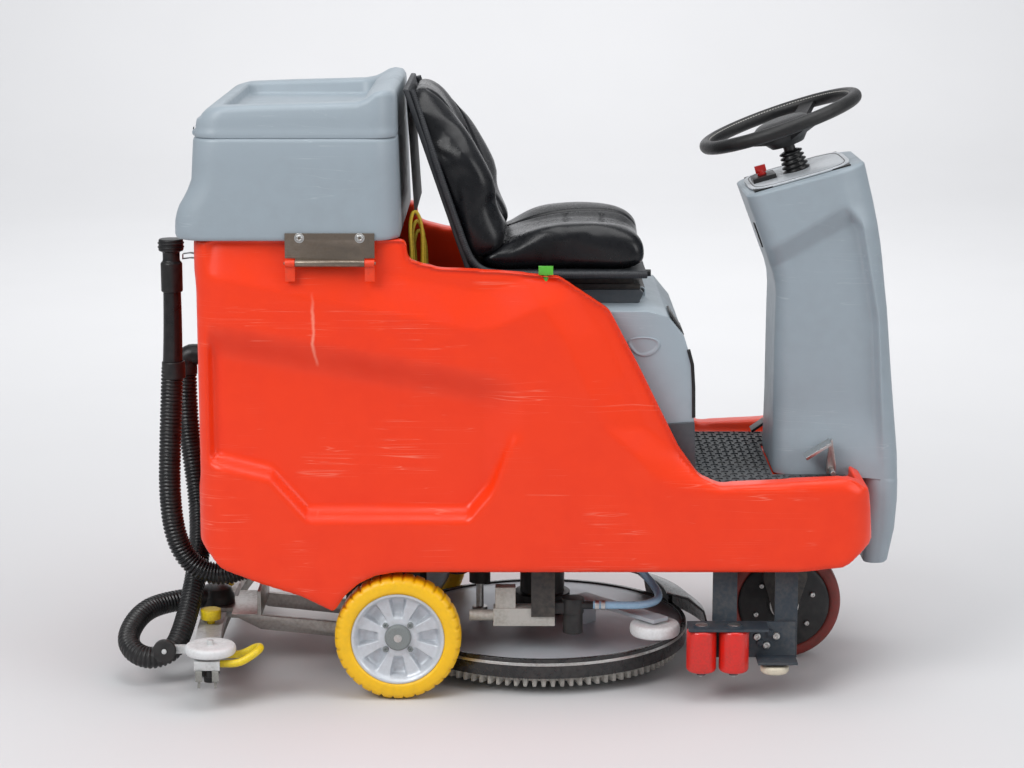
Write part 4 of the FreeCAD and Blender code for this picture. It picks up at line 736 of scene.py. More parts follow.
base_rows = hull_rows([(-0.60, -0.30, 0.29, 0.044, 1.1416), (-0.632, -0.261, 0.3175, 0.044, 1.1416),
                       (-0.634, -0.2595, 0.3185, 0.045, 1.1118), (-0.640, -0.2565, 0.3220, 0.050, 1.1116),
                       (-0.642, -0.256, 0.3225, 0.050, 1.1135), (-0.642, -0.256, 0.3225, 0.050, 1.122),
                       (-0.6395, -0.2565, 0.3215, 0.050, 1.1255), (-0.6385, -0.2565, 0.3210, 0.050, 1.134),
                       (-0.6365, -0.2565, 0.3205, 0.050, 1.145)])
top_rows = []
for rear, front, half, corner, drop in (
        (-0.632, -0.257, 0.3195, 0.050, 0.012), (-0.627, -0.258, 0.317, 0.049, 0.0055), (-0.620, -0.262, 0.312, 0.046, 0.0012),
        (-0.610, -0.272, 0.303, 0.042, 0.0), (-0.595, -0.305, 0.272, 0.034, 0.0), (-0.590, -0.318, 0.265, 0.032, 0.002),
        (-0.5875, -0.3215, 0.2615, 0.030, 0.008)):
    row = rounded_rectangle(rear, front, half, corner, 0)
    row[:, 2] = np.maximum(lid_height(row[:, 0]) - drop, 1.146)
    top_rows.append(row)
tray_rows = hull_rows([(-0.586, -0.323, 0.2600, 0.029, 1.153), (-0.583, -0.326, 0.257, 0.026, 1.148),
                       (-0.577, -0.332, 0.251, 0.022, 1.1467), (-0.50, -0.40, 0.15, 0.022, 1.1466)])
lid = grid_object("lid_moulded", np.concatenate([base_rows, top_rows, tray_rows]), close_across=True, caps=True)
knuckles = [lathe("lid_knuckle", rounded([(0, y - 0.0095), (0.007, y - 0.0095), (0.007, y + 0.0095), (0, y + 0.0095)],
                                         0.001), (-0.653, 0, 1.1076), (0, 1, 0), 24) for y in (-0.14, 0.14)]
ears = [grid_object("lid_ear", np.array([[(px, y + side * 0.0095, pz) for side in (-1, 1)] for px, pz in (
    (-0.660, 1.1076), (-0.659, 1.117), (-0.653, 1.121), (-0.634, 1.121), (-0.634, 1.1125), (-0.650, 1.1125))]),
    close_along=True) for y in (-0.14, 0.14)]
lid = gather("lid_moulded", [lid, *knuckles, *ears])
lid.data.materials.clear()
lid.data.materials.append(grey_plastic)
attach(lid, "tank_lid")
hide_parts("tank_lid")

# ---- Tank hinge -------------------------------------------------------------------------
# Stainless plate screwed to the tank, with a rolled knuckle and a pin, and its two leaves
# on the tub. The steel is brushed along the machine and has gone brown.
brown_steel = finish("brown_steel", (0.23, 0.19, 0.155), 0.34, soil=(0.13, 0.095, 0.065), amount=0.5, scale=14, low=0.0,
                     grain_scale=500, relief=0.06, metallic=1.0)
scratched(brown_steel, (0.46, 0.42, 0.36), 0.40, long=3.0, close=900, thin=0.10)
bright_steel = finish("bright_steel", (0.62, 0.62, 0.61), 0.28, soil=(0.30, 0.26, 0.22), amount=0.4, scale=20,
                      low=0.3, relief=0.04, metallic=1.0)
dress("tank_hinge_plate", brown_steel, 0.0012)
leaf_paint = finish("leaf_paint", (0.80, 0.045, 0.006), 0.35, soil=(0.45, 0.05, 0.02), amount=0.4, scale=20,
                    low=0.0, relief=0.06)
dress("tank_hinge_leaf", leaf_paint, 0.0015)


def screw(name, place, axis, radius, rise):
    """Pan-head screw: a domed head turned about its axis, with a round socket sunk in it."""
    head = rounded([(0, -0.0005), (radius, -0.0005), (radius, rise * 0.45), (radius * 0.8, rise), (radius * 0.42, rise),
                    (radius * 0.38, rise * 0.45), (0, rise * 0.40)], radius * 0.12, 3)
    return lathe(name, head, place, axis, 36)


plate_face_y, screw_height, screw_places = -0.3295, 0.9233, (-0.440, -0.325)
heads = [screw("head", (x, plate_face_y, screw_height), (0, -1, 0), 0.0068, 0.0034)
         for x in screw_places]
washer_section = rounded([(0.003, 0), (0.0095, 0), (0.0095, 0.0012), (0.003, 0.0012)], 0.0004)
washers = [lathe("washer", washer_section, (x, plate_face_y, screw_height), (0, -1, 0), 36, closed=True)
           for x in screw_places]
hinge_screws = gather("hinge_screws", heads + washers)
hinge_screws.data.materials.append(bright_steel)
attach(hinge_screws, "recovery_tank")

# ---- Suction motor and batteries --------------------------------------------------------
# The vacuum turbine in the tank and the four battery blocks in the bay: moulded cases seen
# only when the tank or seat is tipped up.
battery_case = finish("battery_case", (0.035, 0.035, 0.04), 0.5, soil=(0.12, 0.115, 0.11), amount=0.4, scale=9,
                      low=0.0, grain_scale=350, relief=0.12)
dress("suction_motor", moulded_black, 0.004)
dress("batteries", battery_case, 0.005)

# ---- Panel behind the seat --------------------------------------------------------------
# Dark sheet that closes the gap between the tank and the seat, hooked up by a wire that
# is bent round the tank's front edge. It stays with the tank.
dark_sheet = finish("dark_sheet", (0.03, 0.03, 0.033), 0.55, amount=0.2, low=0.0, relief=0.05)
sheet_rows = np.array([[(x + dx, y, z) for x, y, z, dx in (
    (-0.2395, -0.205, 1.180, 0), (-0.2395, 0.205, 1.180, 0), (-0.2245, 0.205, 0.945, 0), (-0.2245, -0.205, 0.945, 0))]
    for dx in (-0.004, 0.004)])
back_panel = grid_object("back_panel", sheet_rows, close_across=True, caps=True)
back_panel.modifiers.new("edge", "BEVEL").width = 0.0015
back_panel.data.materials.append(dark_sheet)
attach(back_panel, "recovery_tank")

# ---- Tub fittings -----------------------------------------------------------------------
# Steel chassis under the tub, powder coated black and dirty, and the ribbed rubber mat in
# the footwell.
frame_black = finish("frame_black", (0.012, 0.012, 0.013), 0.45, soil=(0.10, 0.085, 0.07), amount=0.5, scale=11,
                     low=0.6, reach=0.32, grain_scale=500, relief=0.15)
dress("chassis_frame", frame_black, 0.0015, 2)
dress("seat_base", frame_black, 0.002, 2)
dress("drive_fork", frame_black, 0.002, 2)
dress("lift_actuator", frame_black, 0.003, 2)
dress("rear_axle", bright_steel, 0.001, 2)
dress("deck_guides", bright_steel, 0.001, 2)
mat_rubber = finish("mat_rubber", (0.055, 0.06, 0.066), 0.55, soil=(0.22, 0.21, 0.20), amount=0.35, scale=12, low=0.0,
                    grain_scale=500, relief=0.15)
dress("footwell_mat", mat_rubber, 0.0015, 2)
# Raised crescents stand in rows on the mat, turned one way and the other.
turns = np.linspace(-0.95, 0.95, 7)
pair = np.array([[(0.0105 * np.cos(t) - 0.0105 * 0.75, 0.0105 * np.sin(t)), (0.0068 * np.cos(t * 0.8) - 0.0068 * 0.55,
                  0.0072 * np.sin(t))] for t in turns])
treads = []
for row, x in enumerate(np.arange(0.345, 0.632, 0.0165)):
    for column, y in enumerate(np.arange(-0.248, 0.249, 0.0205)):
        if x > 0.478 and abs(y) < 0.152:
            continue
        if (x > 0.615 or x < 0.352) and abs(y) > 0.242:
            continue
        turn = math.pi / 2 if (row + column) % 2 else 0.0
        flat = pair @ np.array([[math.cos(turn), math.sin(turn)], [-math.sin(turn), math.cos(turn)]])
        low = np.dstack([flat + (x, y), np.full((7, 2), 0.4178)])
        high = np.dstack([(flat - flat.mean((0, 1))) * 0.8 + flat.mean((0, 1)) + (x, y), np.full((7, 2), 0.4202)])
        treads.append(np.stack([low[:, 0], high[:, 0], high[:, 1], low[:, 1]], axis=1))
treads = np.array(treads)
count = len(treads)
base = np.arange(count)[:, None, None] * 28 + np.arange(6)[None, :, None] * 4
faces = [np.stack([base[..., 0] + a, base[..., 0] + b, base[..., 0] + 4 + b, base[..., 0] + 4 + a], axis=-1).reshape(-1, 4)
         for a, b in ((0, 1), (1, 2), (2, 3), (3, 0))]
ends = [np.arange(count)[:, None] * 28 + np.array(order) for order in ((0, 1, 2, 3), (24, 25, 26, 27))]
crescents = bpy.data.objects.new("mat_crescents", bpy.data.meshes.new("mat_crescents"))
crescents.data.from_pydata(treads.reshape(-1, 3).tolist(), [], np.vstack(faces + ends).tolist())
shaped = bmesh.new()
shaped.from_mesh(crescents.data)
bmesh.ops.recalc_face_normals(shaped, faces=shaped.faces)
shaped.to_mesh(crescents.data)
shaped.free()
bpy.context.collection.objects.link(crescents)
crescents.data.materials.append(mat_rubber)
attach(crescents, "machine")

# ---- Steering column --------------------------------------------------------------------
# Tall moulded cover over the steering shaft. Its head swells out of the shaft of the
# column in a facet that ends in a point on each side.
levels = np.array([  # rear x, rear z, front x, front z
    (0.679, 0.2325, 0.724, 0.2325), (0.678, 0.236, 0.728, 0.236), (0.678, 0.300, 0.7415, 0.300),
    (0.678, 0.385, 0.7458, 0.360), (0.677, 0.4115, 0.7455, 0.400), (0.500, 0.4125, 0.7445, 0.425),
    (0.4935, 0.4155, 0.7440, 0.440), (0.492, 0.425, 0.7430, 0.457), (0.4922, 0.55, 0.7345, 0.55),
    (0.4925, 0.66, 0.7250, 0.65), (0.4930, 0.735, 0.7160, 0.749), (0.4935, 0.775, 0.7115, 0.785),
    (0.4915, 0.800, 0.708, 0.815), (0.4860, 0.822, 0.704, 0.850), (0.4770, 0.846, 0.700, 0.880),
    (0.4600, 0.893, 0.693, 0.920), (0.4430, 0.938, 0.684, 0.965), (0.4305, 0.971, 0.667, 1.032),
    (0.4290, 0.9755, 0.6645, 1.0405), (0.4315, 0.9790, 0.6605, 1.0438), (0.4395, 0.9822, 0.6525, 1.0428)])
fine = np.linspace(0, len(levels) - 1, 7 * (len(levels) - 1) + 1)
levels = np.stack([np.interp(fine, np.arange(len(levels)), column) for column in levels.T], axis=1)
rows = []
for number, (rear, rear_z, front, front_z) in enumerate(levels):
    inset = 0.010 * step(fine[number], 17.5, 20) if fine[number] > 17.5 else 0.0
    corner = min(0.034, (front - rear) * 0.45)
    row = rounded_rectangle(rear, front, 0.1398 - inset, corner, 0, 34)
    row[:, 2] = rear_z + (front_z - rear_z) * (row[:, 0] - rear) / (front - rear)
    rows.append(row)
rows = np.array(rows)
# Below the head's lower edge, which climbs forwards, the sides lean in to the thinner
# shaft. In front of a kinked line down the side, a broad chamfer leads to the front face.
x, z = rows[..., 0], rows[..., 2]
line = np.interp(z, [0.44, 0.73, 0.917, 0.962, 1.012, 1.045], [0.7120, 0.6960, 0.6600, 0.6270, 0.6140, 0.6110])
under = np.clip((0.873 + 0.5855 * (x - 0.475) - z) / 0.046, 0, 1) * step(z, 0.42, 0.56)
chamfer = 0.026 * np.clip((x - line) / 0.07, 0, 1) * step(z, 0.45, 0.60)
rows[..., 1] -= np.sign(rows[..., 1]) * (0.021 * under * step(line - x, -0.002, 0.014) + chamfer) * step(
    np.abs(rows[..., 1]), 0.05, 0.12)
column = grid_object("column_moulded", rows, close_across=True, caps=True)
column.data.materials.append(grey_plastic)
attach(column, "machine")
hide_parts("column_cover")

# ---- Column fittings --------------------------------------------------------------------
# The charging slot low on the head's rear face, and the pins on which the pedals turn.
slot_rows = []
for lift in (0.0, 0.003):
    for shrink in ((0.0,) if lift == 0 else (0.0, 0.0015)):
        turn = np.linspace(0, 2 * np.pi, 32, endpoint=False)
        along = (0.026 - shrink) * np.sign(np.cos(turn)) * np.abs(np.cos(turn)) ** 0.35
        wide = (0.013 - shrink) * np.sign(np.sin(turn)) * np.abs(np.sin(turn)) ** 0.35
        rear_face = np.array((-0.938, 0.0, -0.346))
        up_face = np.array((-0.346, 0.0, 0.938))
        slot_rows.append(np.array((0.4605, -0.06, 0.8925)) + along[:, None] * up_face + wide[:, None] * np.array((0, 1, 0))
                         + rear_face * lift)
charge_slot = grid_object("column_slot", np.array(slot_rows), close_across=True, caps=True)
charge_slot.data.materials.append(moulded_black)
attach(charge_slot, "machine")
pin_steel = [lathe("pedal_pin", rounded([(0, 0), (0.005, 0), (0.005, 0.060), (0, 0.060)], 0.001), place, axis, 24)
             for place, axis in (((0.604, -0.138, 0.432), (0, -1, 0)), ((0.510, 0.138, 0.430), (0, 1, 0)))]
pedal_pins = gather("pedal_pins", pin_steel)
pedal_pins.data.materials.append(bright_steel)
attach(pedal_pins, "machine")

# ---- Panel, key and bellows -------------------------------------------------------------
# Light printed panel inside a dark bezel on the column's sloping top, the key's block with
# its red lever, and the rubber bellows round the shaft.
slope = math.atan2(67, 235)
panel_grey = finish("panel_grey", (0.50, 0.53, 0.56), 0.35, soil=(0.30, 0.31, 0.33), amount=0.4, scale=18, low=0.0,
                    grain_scale=300, relief=0.05)
dress("dash_panel", moulded_black, 0.0015, 2)


def on_top(along, across, rise):
    """Points on the column's sloping top: along it from its rear edge, across it, and square above it."""
    along, across, rise = np.broadcast_arrays(along, across, rise)
    return np.stack([0.428 + along * math.cos(slope) - rise * math.sin(slope), across,
                     0.979 + along * math.sin(slope) + rise * math.cos(slope)], axis=-1)


turn = np.linspace(0, 2 * np.pi, 64, endpoint=False)
rounding = np.abs(np.cos(turn)) ** 0.45 * np.sign(np.cos(turn)), np.abs(np.sin(turn)) ** 0.45 * np.sign(np.sin(turn))
def top_plate(name, middle, long, wide, tiers, material, hollow=False):
    """Flat piece on the sloping top with rounded ends; each tier is a share of its size and a rise above the slope."""
    plate = grid_object(name, np.array([on_top(middle + (long + grow) * rounding[0], (wide + grow) * rounding[1], rise)
                                        for grow, rise in tiers]), close_across=True, close_along=hollow, caps=not hollow)
    plate.data.materials.append(material)
    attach(plate, "machine")
    return plate


top_plate("panel_face", 0.1165, 0.1040, 0.1205, ((0.0, 0.0010), (0.0, 0.0040), (-0.0012, 0.0050), (-0.05, 0.0050)), panel_grey)
top_plate("panel_line", 0.1165, 0.0960, 0.1120, ((0.0, 0.0046), (0.0, 0.0054), (-0.0020, 0.0054), (-0.0020, 0.0046)),
          moulded_black, hollow=True)
red_plastic = finish("red_plastic", (0.55, 0.012, 0.008), 0.32, soil=(0.25, 0.01, 0.01), amount=0.4, scale=30, low=0.0,
                     relief=0.04)
dress("key_switch", red_plastic, 0.0018)
bellows_profile = []
for fold in range(5):
    crest = 0.0285 - 0.0011 * fold
    base_height = -0.108 + 0.009 * fold
    bellows_profile += [(crest - 0.007, base_height), (crest - 0.001, base_height + 0.0028),
                        (crest, base_height + 0.0045), (crest - 0.001, base_height + 0.0062)]
bellows_profile += [(0.016, -0.063), (0.0142, -0.063), (0.0142, -0.108)]
tilt = math.radians(19.6)
shaft_axis = (-math.sin(tilt), 0, math.cos(tilt))
bellows = lathe("bellows", bellows_profile, (0.505, 0, 1.115), shaft_axis, 48, hose_rubber, closed=True)
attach(bellows, "machine")
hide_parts("column_bellows")

# ---- Steering wheel ---------------------------------------------------------------------
# Moulded wheel with a thick grip covered in black hide, sewn along its inner side, and a
# dished hub on three spokes with the horn's pad in its middle.
hide = finish("hide", (0.007, 0.007, 0.0075), 0.36, soil=(0.04, 0.038, 0.036), amount=0.25, scale=14, low=0.0,
              grain_scale=900, waves=0.6, relief=0.30, specular=0.42)
turn = np.linspace(0, 2 * np.pi, 28, endpoint=False)
grip_profile = np.stack([0.157 + 0.0135 * np.cos(turn), 0.0135 * np.sin(turn)], axis=1)
grip = lathe("grip", grip_profile, (0.505, 0, 1.115), shaft_axis, 144, hide, closed=True)
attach(grip, "steering")
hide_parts("steering_rim")
stitch_turn = np.linspace(0, 2 * np.pi, 150, endpoint=False)
u_axis = np.array((math.cos(tilt), 0, math.sin(tilt)))
v_axis = np.array((0, 1.0, 0))
spine = np.array(shaft_axis)
stitches = []
for angle in stitch_turn:
    outward = math.cos(angle) * u_axis + math.sin(angle) * v_axis
    along = -math.sin(angle) * u_axis + math.cos(angle) * v_axis
    middle = np.array((0.505, 0, 1.115)) + outward * 0.1470 + spine * 0.0094
    box_corners = [middle + along * a * 0.0021 + (outward * 0.7 + spine * 0.7) * b * 0.0006 + spine * c * 0.0006
                   for a, b, c in ((-1, -1, -1), (1, -1, -1), (1, 1, -1), (-1, 1, -1), (-1, -1, 1), (1, -1, 1), (1, 1, 1),
                                   (-1, 1, 1))]
    stitches.append(box_corners)
stitches = np.array(stitches)
block = np.array([(0, 3, 2, 1), (4, 5, 6, 7), (0, 1, 5, 4), (2, 3, 7, 6), (1, 2, 6, 5), (3, 0, 4, 7)])
thread = bpy.data.objects.new("grip_thread", bpy.data.meshes.new("grip_thread"))
thread.data.from_pydata(stitches.reshape(-1, 3).tolist(), [],
                        (block[None] + np.arange(len(stitches))[:, None, None] * 8).reshape(-1, 4).tolist())
bpy.context.collection.objects.link(thread)
thread_grey = finish("thread_grey", (0.35, 0.34, 0.32), 0.7, low=0.0, relief=0.2)
thread.data.materials.append(thread_grey)
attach(thread, "steering")
wheel_plastic = finish("wheel_plastic", (0.009, 0.009, 0.010), 0.38, soil=(0.05, 0.048, 0.046), amount=0.3, scale=10,
                       low=0.0, grain_scale=800, relief=0.2)
dress("steering_hub", wheel_plastic, 0.004, 4)
shroud = lathe("hub_shroud", rounded([(0, 0.004), (0.034, 0.004), (0.050, 0.000), (0.062, -0.010), (0.060, -0.016), (0.040, -0.026),
                                      (0.036, -0.044), (0.020, -0.048), (0, -0.048)], 0.006, 5), (0.505, 0, 1.115), shaft_axis, 72,
               wheel_plastic)
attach(shroud, "steering")
dress("horn_button", wheel_plastic, 0.002, 3)

# ---- Pedals -----------------------------------------------------------------------------
# Folded bright steel accelerator pedal on the right and the rubber-covered brake pedal on
# the left.
dress("accelerator_pedal", bright_steel, 0.0012)
dress("brake_pedal", moulded_black, 0.002)

# ---- Battery cover and seat plate -------------------------------------------------------
# Grey moulded cover under the seat, with a pressed pocket, a louvred vent and a dark strip
# beside it. The seat's tilting plate lies on top.
dress("battery_cover", grey_plastic, 0.0035, 4)


def slab(name, corners, y, thick, width, material, body):
    """Flat moulded panel: an outline of (x, z) carried from y towards the right by thick, with eased edges."""
    outline = np.array([(px, y, pz) for px, pz in corners])
    made = grid_object(name, np.array([outline, outline - (0, thick, 0)]), close_across=True, caps=True)
    edge = made.modifiers.new("edge", "BEVEL")
    edge.width, edge.segments, edge.limit_method = width, 3, "ANGLE"
    edge.harden_normals = True
    made.data.materials.append(material)
    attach(made, body)
    return made


dark_grey = finish("dark_grey", (0.05, 0.06, 0.07), 0.45, soil=(0.12, 0.12, 0.12), amount=0.3, scale=12, low=0.0,
                   grain_scale=600, relief=0.12)
slab("cover_lower_panel", ((0.262, 0.45), (0.262, 0.548), (0.322, 0.552), (0.326, 0.45)), -0.2605, 0.006, 0.002, dark_grey,
     "machine")
strip_line = np.array([(0.3205, -0.262, 0.560), (0.3195, -0.262, 0.620), (0.3165, -0.262, 0.665), (0.3085, -0.262, 0.695)])
side_strip, _ = swept("cover_strip", strip_line, lambda along: np.full(len(along), 0.0035), 0.004, 12)
side_strip.data.materials.append(moulded_black)
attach(side_strip, "machine")
pocket_rows = []
for inset, depth in ((0.0, 0.0006), (0.002, 0.0022), (0.006, 0.0024), (0.009, 0.0004), (0.012, 0.0002)):
    outline = np.array([(0.178 + inset, 0.722 - inset * 0.5), (0.262 - inset, 0.722 - inset * 0.5),
                        (0.252 - inset, 0.688 + inset * 0.6), (0.222 - inset, 0.676 + inset),
                        (0.196 + inset, 0.690 + inset * 0.6)])
    pocket_rows.append(np.column_stack([outline[:, 0], np.full(5, -0.2620 - depth), outline[:, 1]]))
pocket = grid_object("cover_pocket", np.array([pocket_rows[0] + (0, 0.003, 0)] + pocket_rows), close_across=True, caps=True)
soften = pocket.modifiers.new("soft", "SUBSURF")
soften.levels = soften.render_levels = 2
pocket.data.materials.append(grey_plastic)
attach(pocket, "machine")
louvres = []
for number in range(7):
    share = number / 6
    cx, cz = 0.2752 + 0.0225 * share, 0.7535 - 0.034 * share
    tangent = np.array((0.0225, 0, -0.034)) / math.hypot(0.0225, 0.034)
    normal = np.array((0.834, 0, 0.552))
    middle = np.array((cx, 0, cz)) + normal * 0.0012
    louvres.append(np.array([[middle + tangent * a + normal * b + np.array((0, y, 0)) for a, b in (
        (-0.0018, -0.002), (-0.0018, 0.0014), (0.0, 0.0026), (0.0018, 0.0014), (0.0018, -0.002))] for y in (-0.235, -0.11)]))
vents = gather("cover_vent", [grid_object("louvre", rows, close_across=True, caps=True) for rows in louvres])
vents.data.materials.append(moulded_black)
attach(vents, "machine")
for side in (-1, 1):
    slab("seat_plate_edge_" + ("right" if side < 0 else "left"), ((0.055, 0.7705), (0.055, 0.7900), (0.070, 0.7965),
         (0.219, 0.7965), (0.2245, 0.7905), (0.2245, 0.7890), (0.2165, 0.7705)), side * 0.150 + 0.011, 0.022, 0.002,
         dark_grey, "seat_base")

# ---- Seat -------------------------------------------------------------------------------
# Foam seat in glossy black vinyl: a cushion with raised sides and a back that wraps
# forwards, both sewn down the middle panel and bonded to a shell with a ribbed edge.
def softened(outline, times=2):
    """Closed outline with its corners cut: each side keeps its middle half, and this is done several times."""
    outline = np.asarray(outline, float)
    for _ in range(times):
        following = np.roll(outline, -1, axis=0)
        outline = np.stack([outline * 0.75 + following * 0.25, outline * 0.25 + following * 0.75], axis=1).reshape(-1, 2)
    return outline


def stuffed(name, rows, cap):
    """Padded form: the skin is remeshed, blown up as cloth, and no point moves further than cap."""
    piece = grid_object(name, rows, close_across=True, caps=True)
    skin = piece.modifiers.new("skin", "REMESH")
    skin.mode, skin.voxel_size, skin.use_smooth_shade = "VOXEL", 0.0055, True
    soft = piece.modifiers.new("soft", "SMOOTH")
    soft.iterations, soft.factor = 4, 0.5
    bpy.context.view_layer.update()
    shape = bpy.data.meshes.new_from_object(piece.evaluated_get(bpy.context.evaluated_depsgraph_get()))
    piece.modifiers.clear()
    piece.data = shape
    start = np.empty(len(shape.vertices) * 3)
    shape.vertices.foreach_get("co", start)
    cloth = piece.modifiers.new("fill", "CLOTH")
    cloth.settings.use_pressure = True
    cloth.settings.uniform_pressure_force = 4
    cloth.settings.effector_weights.gravity = 0
    for number in range(1, 21):
        bpy.context.scene.frame_set(number)
    blown = bpy.data.meshes.new_from_object(piece.evaluated_get(bpy.context.evaluated_depsgraph_get()))
    piece.modifiers.clear()
    end = np.empty(len(blown.vertices) * 3)
    blown.vertices.foreach_get("co", end)
    move = (end - start).reshape(-1, 3)
    size = np.linalg.norm(move, axis=1, keepdims=True)
    move *= np.minimum(1, cap / np.maximum(size, 1e-9))
    shape.vertices.foreach_set("co", (start.reshape(-1, 3) + move).ravel())
    bpy.context.scene.frame_set(1)
    taut = piece.modifiers.new("taut", "SMOOTH")
    taut.iterations, taut.factor = 16, 0.5
    fine = piece.modifiers.new("fine", "SUBSURF")
    fine.levels = fine.render_levels = 1
    bpy.context.view_layer.update()
    piece.data = bpy.data.meshes.new_from_object(piece.evaluated_get(bpy.context.evaluated_depsgraph_get()))
    piece.modifiers.clear()
    piece.data.polygons.foreach_set("use_smooth", np.ones(len(piece.data.polygons), bool))
    return piece


vinyl = finish("vinyl", (0.0035, 0.004, 0.0055), 0.25, soil=(0.014, 0.014, 0.016), amount=0.2, scale=8, low=0.0,
               grain_scale=900, waves=0.3, relief=0.09, specular=0.36)
across = np.array([-1, -0.985, -0.95, -0.89, -0.8, -0.7, -0.6, -0.5, -0.35, -0.2, 0, 0.2, 0.35, 0.5, 0.6, 0.7, 0.8, 0.89,
                   0.95, 0.985, 1])
cushion_line = softened([(-0.104, 0.8435), (0.060, 0.8435), (0.222, 0.8435), (0.2325, 0.868), (0.224, 0.896), (0.172, 0.909),
                         (0.120, 0.913), (0.050, 0.911), (-0.015, 0.895), (-0.052, 0.880), (-0.096, 0.876)], 3)
rows = []
for share in across:
    edge_pull = 1 - 0.10 * max(0, (abs(share) - 0.86) / 0.14) ** 2
    middle = np.array((0.066, 0.870))
    row = middle + (cushion_line - middle) * (edge_pull, 1 - 0.30 * max(0, (abs(share) - 0.86) / 0.14) ** 2)
    rise = 0.012 * step(abs(share), 0.42, 0.72) - 0.008 * step(0.5 - abs(share), 0.0, 0.12)
    lifted = row[:, 1] + rise * step(row[:, 1], 0.872, 0.905) * step(row[:, 0], -0.08, 0.02)
    rows.append(np.column_stack([row[:, 0], np.full(len(row), share * 0.198), lifted]))
cushion = stuffed("cushion_padded", np.array(rows), 0.006)
back_line = softened([(-0.1215, 0.8640), (-0.0800, 0.8620), (-0.0500, 0.8760), (-0.0440, 0.9000), (-0.0560, 0.9330),
                      (-0.0850, 0.9700), (-0.0920, 1.000), (-0.1020, 1.030), (-0.1300, 1.090), (-0.1650, 1.155),
                      (-0.1900, 1.190), (-0.2100, 1.2030), (-0.2290, 1.2010), (-0.2310, 1.1850), (-0.2060, 1.1100),
                      (-0.1600, 0.975)], 3)
rows = []
for share in across:
    squeeze = max(0, (abs(share) - 0.82) / 0.18) ** 2
    lean = np.array((-0.120, 0.860)) + np.outer((back_line[:, 1] - 0.860), (-0.3415, 1)) + (0.013, 0)
    depth = back_line[:, 0] - lean[:, 0]
    wrap = 1.0 + 0.34 * step(abs(share), 0.45, 0.80) * step(back_line[:, 1], 0.93, 1.00) * step(1.20 - back_line[:, 1], 0, 0.10)
    hollow = 1.0 - 0.20 * step(0.5 - abs(share), 0.0, 0.15)
    row_x = lean[:, 0] + depth * (1 - 0.30 * squeeze) * np.where(depth > 0.004, wrap * hollow, 1.0)
    top = 1.198 - 0.050 * max(0, (abs(share) - 0.55) / 0.45) ** 2.2
    row_z = np.where(back_line[:, 1] > 1.02, 1.02 + (back_line[:, 1] - 1.02) * (top - 1.02) / (1.2010 - 1.02), back_line[:, 1])
    half = 0.198 - 0.030 * step(back_line[:, 1], 1.06, 1.20)
    rows.append(np.column_stack([row_x, share * half, row_z]))
back = stuffed("back_padded", np.array(rows), 0.006)


def sewn(piece, side_at, within, depth=0.0032, spread=0.0045):
    """Presses a channel into a padded piece along y = side_at(place), where within is 1, as a bell-shaped groove."""
    place = np.empty(len(piece.data.vertices) * 3)
    turned = np.empty(len(piece.data.vertices) * 3)
    piece.data.vertices.foreach_get("co", place)
    piece.data.vertices.foreach_get("normal", turned)
    place, turned = place.reshape(-1, 3), turned.reshape(-1, 3)
    away = np.abs(place[:, 1]) - side_at(place)
    press = depth * np.exp(-(away / spread) ** 2) * within(place, turned)
    piece.data.vertices.foreach_set("co", (place - turned * press[:, None]).ravel())
    piece.data.update()


sewn(cushion, lambda p: 0.095 + 0.015 * step(p[:, 0], 0.0, 0.20), lambda p, n: step(n[:, 2], 0.2, 0.6))
sewn(cushion, lambda p: 0.1985 + 0 * p[:, 0], lambda p, n: step(p[:, 2], 0.835, 0.84) * step(0.853 - p[:, 2], 0, 0.003), 0.001)
sewn(back, lambda p: 0.088 + 0.020 * step(p[:, 2], 0.95, 1.16), lambda p, n: step(n[:, 0], 0.2, 0.6))
for piece, node, axis, first, second in ((cushion, "seat_cushion", 0, 0.075, 0.150), (back, "seat_back_cushion", 2, 1.000, 1.090)):
    place = np.empty(len(piece.data.vertices) * 3)
    turned = np.empty(len(piece.data.vertices) * 3)
    piece.data.vertices.foreach_get("co", place)
    piece.data.vertices.foreach_get("normal", turned)
    place, turned = place.reshape(-1, 3), turned.reshape(-1, 3)
    facing = step(turned[:, 2 - axis], 0.2, 0.6) * step(0.092 - np.abs(place[:, 1]), 0.0, 0.008)
    channel_depth, channel_spread = 0.0028, 0.0042
    press = channel_depth * (np.exp(-((place[:, axis] - first) / channel_spread) ** 2)
                             + np.exp(-((place[:, axis] - second) / channel_spread) ** 2))
    piece.data.vertices.foreach_set("co", (place - turned * (press * facing)[:, None]).ravel())
    piece.data.update()
    piece.data.materials.append(vinyl)
    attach(piece, "seat")
    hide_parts(node)
# The shell under and behind the foam, with its rubber edge: ribs a few millimetres apart
# run along the whole band.
shell_black = finish("shell_black", (0.014, 0.016, 0.020), 0.5, soil=(0.05, 0.05, 0.055), amount=0.3, low=0.0,
                     grain_scale=500, relief=0.12)
dress("seat_pan", shell_black, 0.002, 2)
band = np.array([(0.2300, 0.8335), (0.180, 0.8335), (0.100, 0.8335), (0.020, 0.8335), (-0.050, 0.8345), (-0.086, 0.8390),
                 (-0.107, 0.8520), (-0.122, 0.8750), (-0.140, 0.925), (-0.165, 0.998), (-0.192, 1.078), (-0.216, 1.148),
                 (-0.231, 1.190)])
for side, name in ((-1, "right"), (1, "left")):
    route = np.insert(band, 1, 0, axis=1)
    route[:, 1] = side * (0.2035 - 0.030 * step(band[:, 1], 1.06, 1.20))
    edge, _ = swept("seat_band_" + name, hose_line("seat_band_line_" + name, [tuple(p) for p in route]),
                    ribs(0.0078, 0.0007, 0.0042), 0.0011, 12)
    edge.data.materials.append(shell_black)
    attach(edge, "seat")
dress("seat_lever", moulded_black, 0.001)
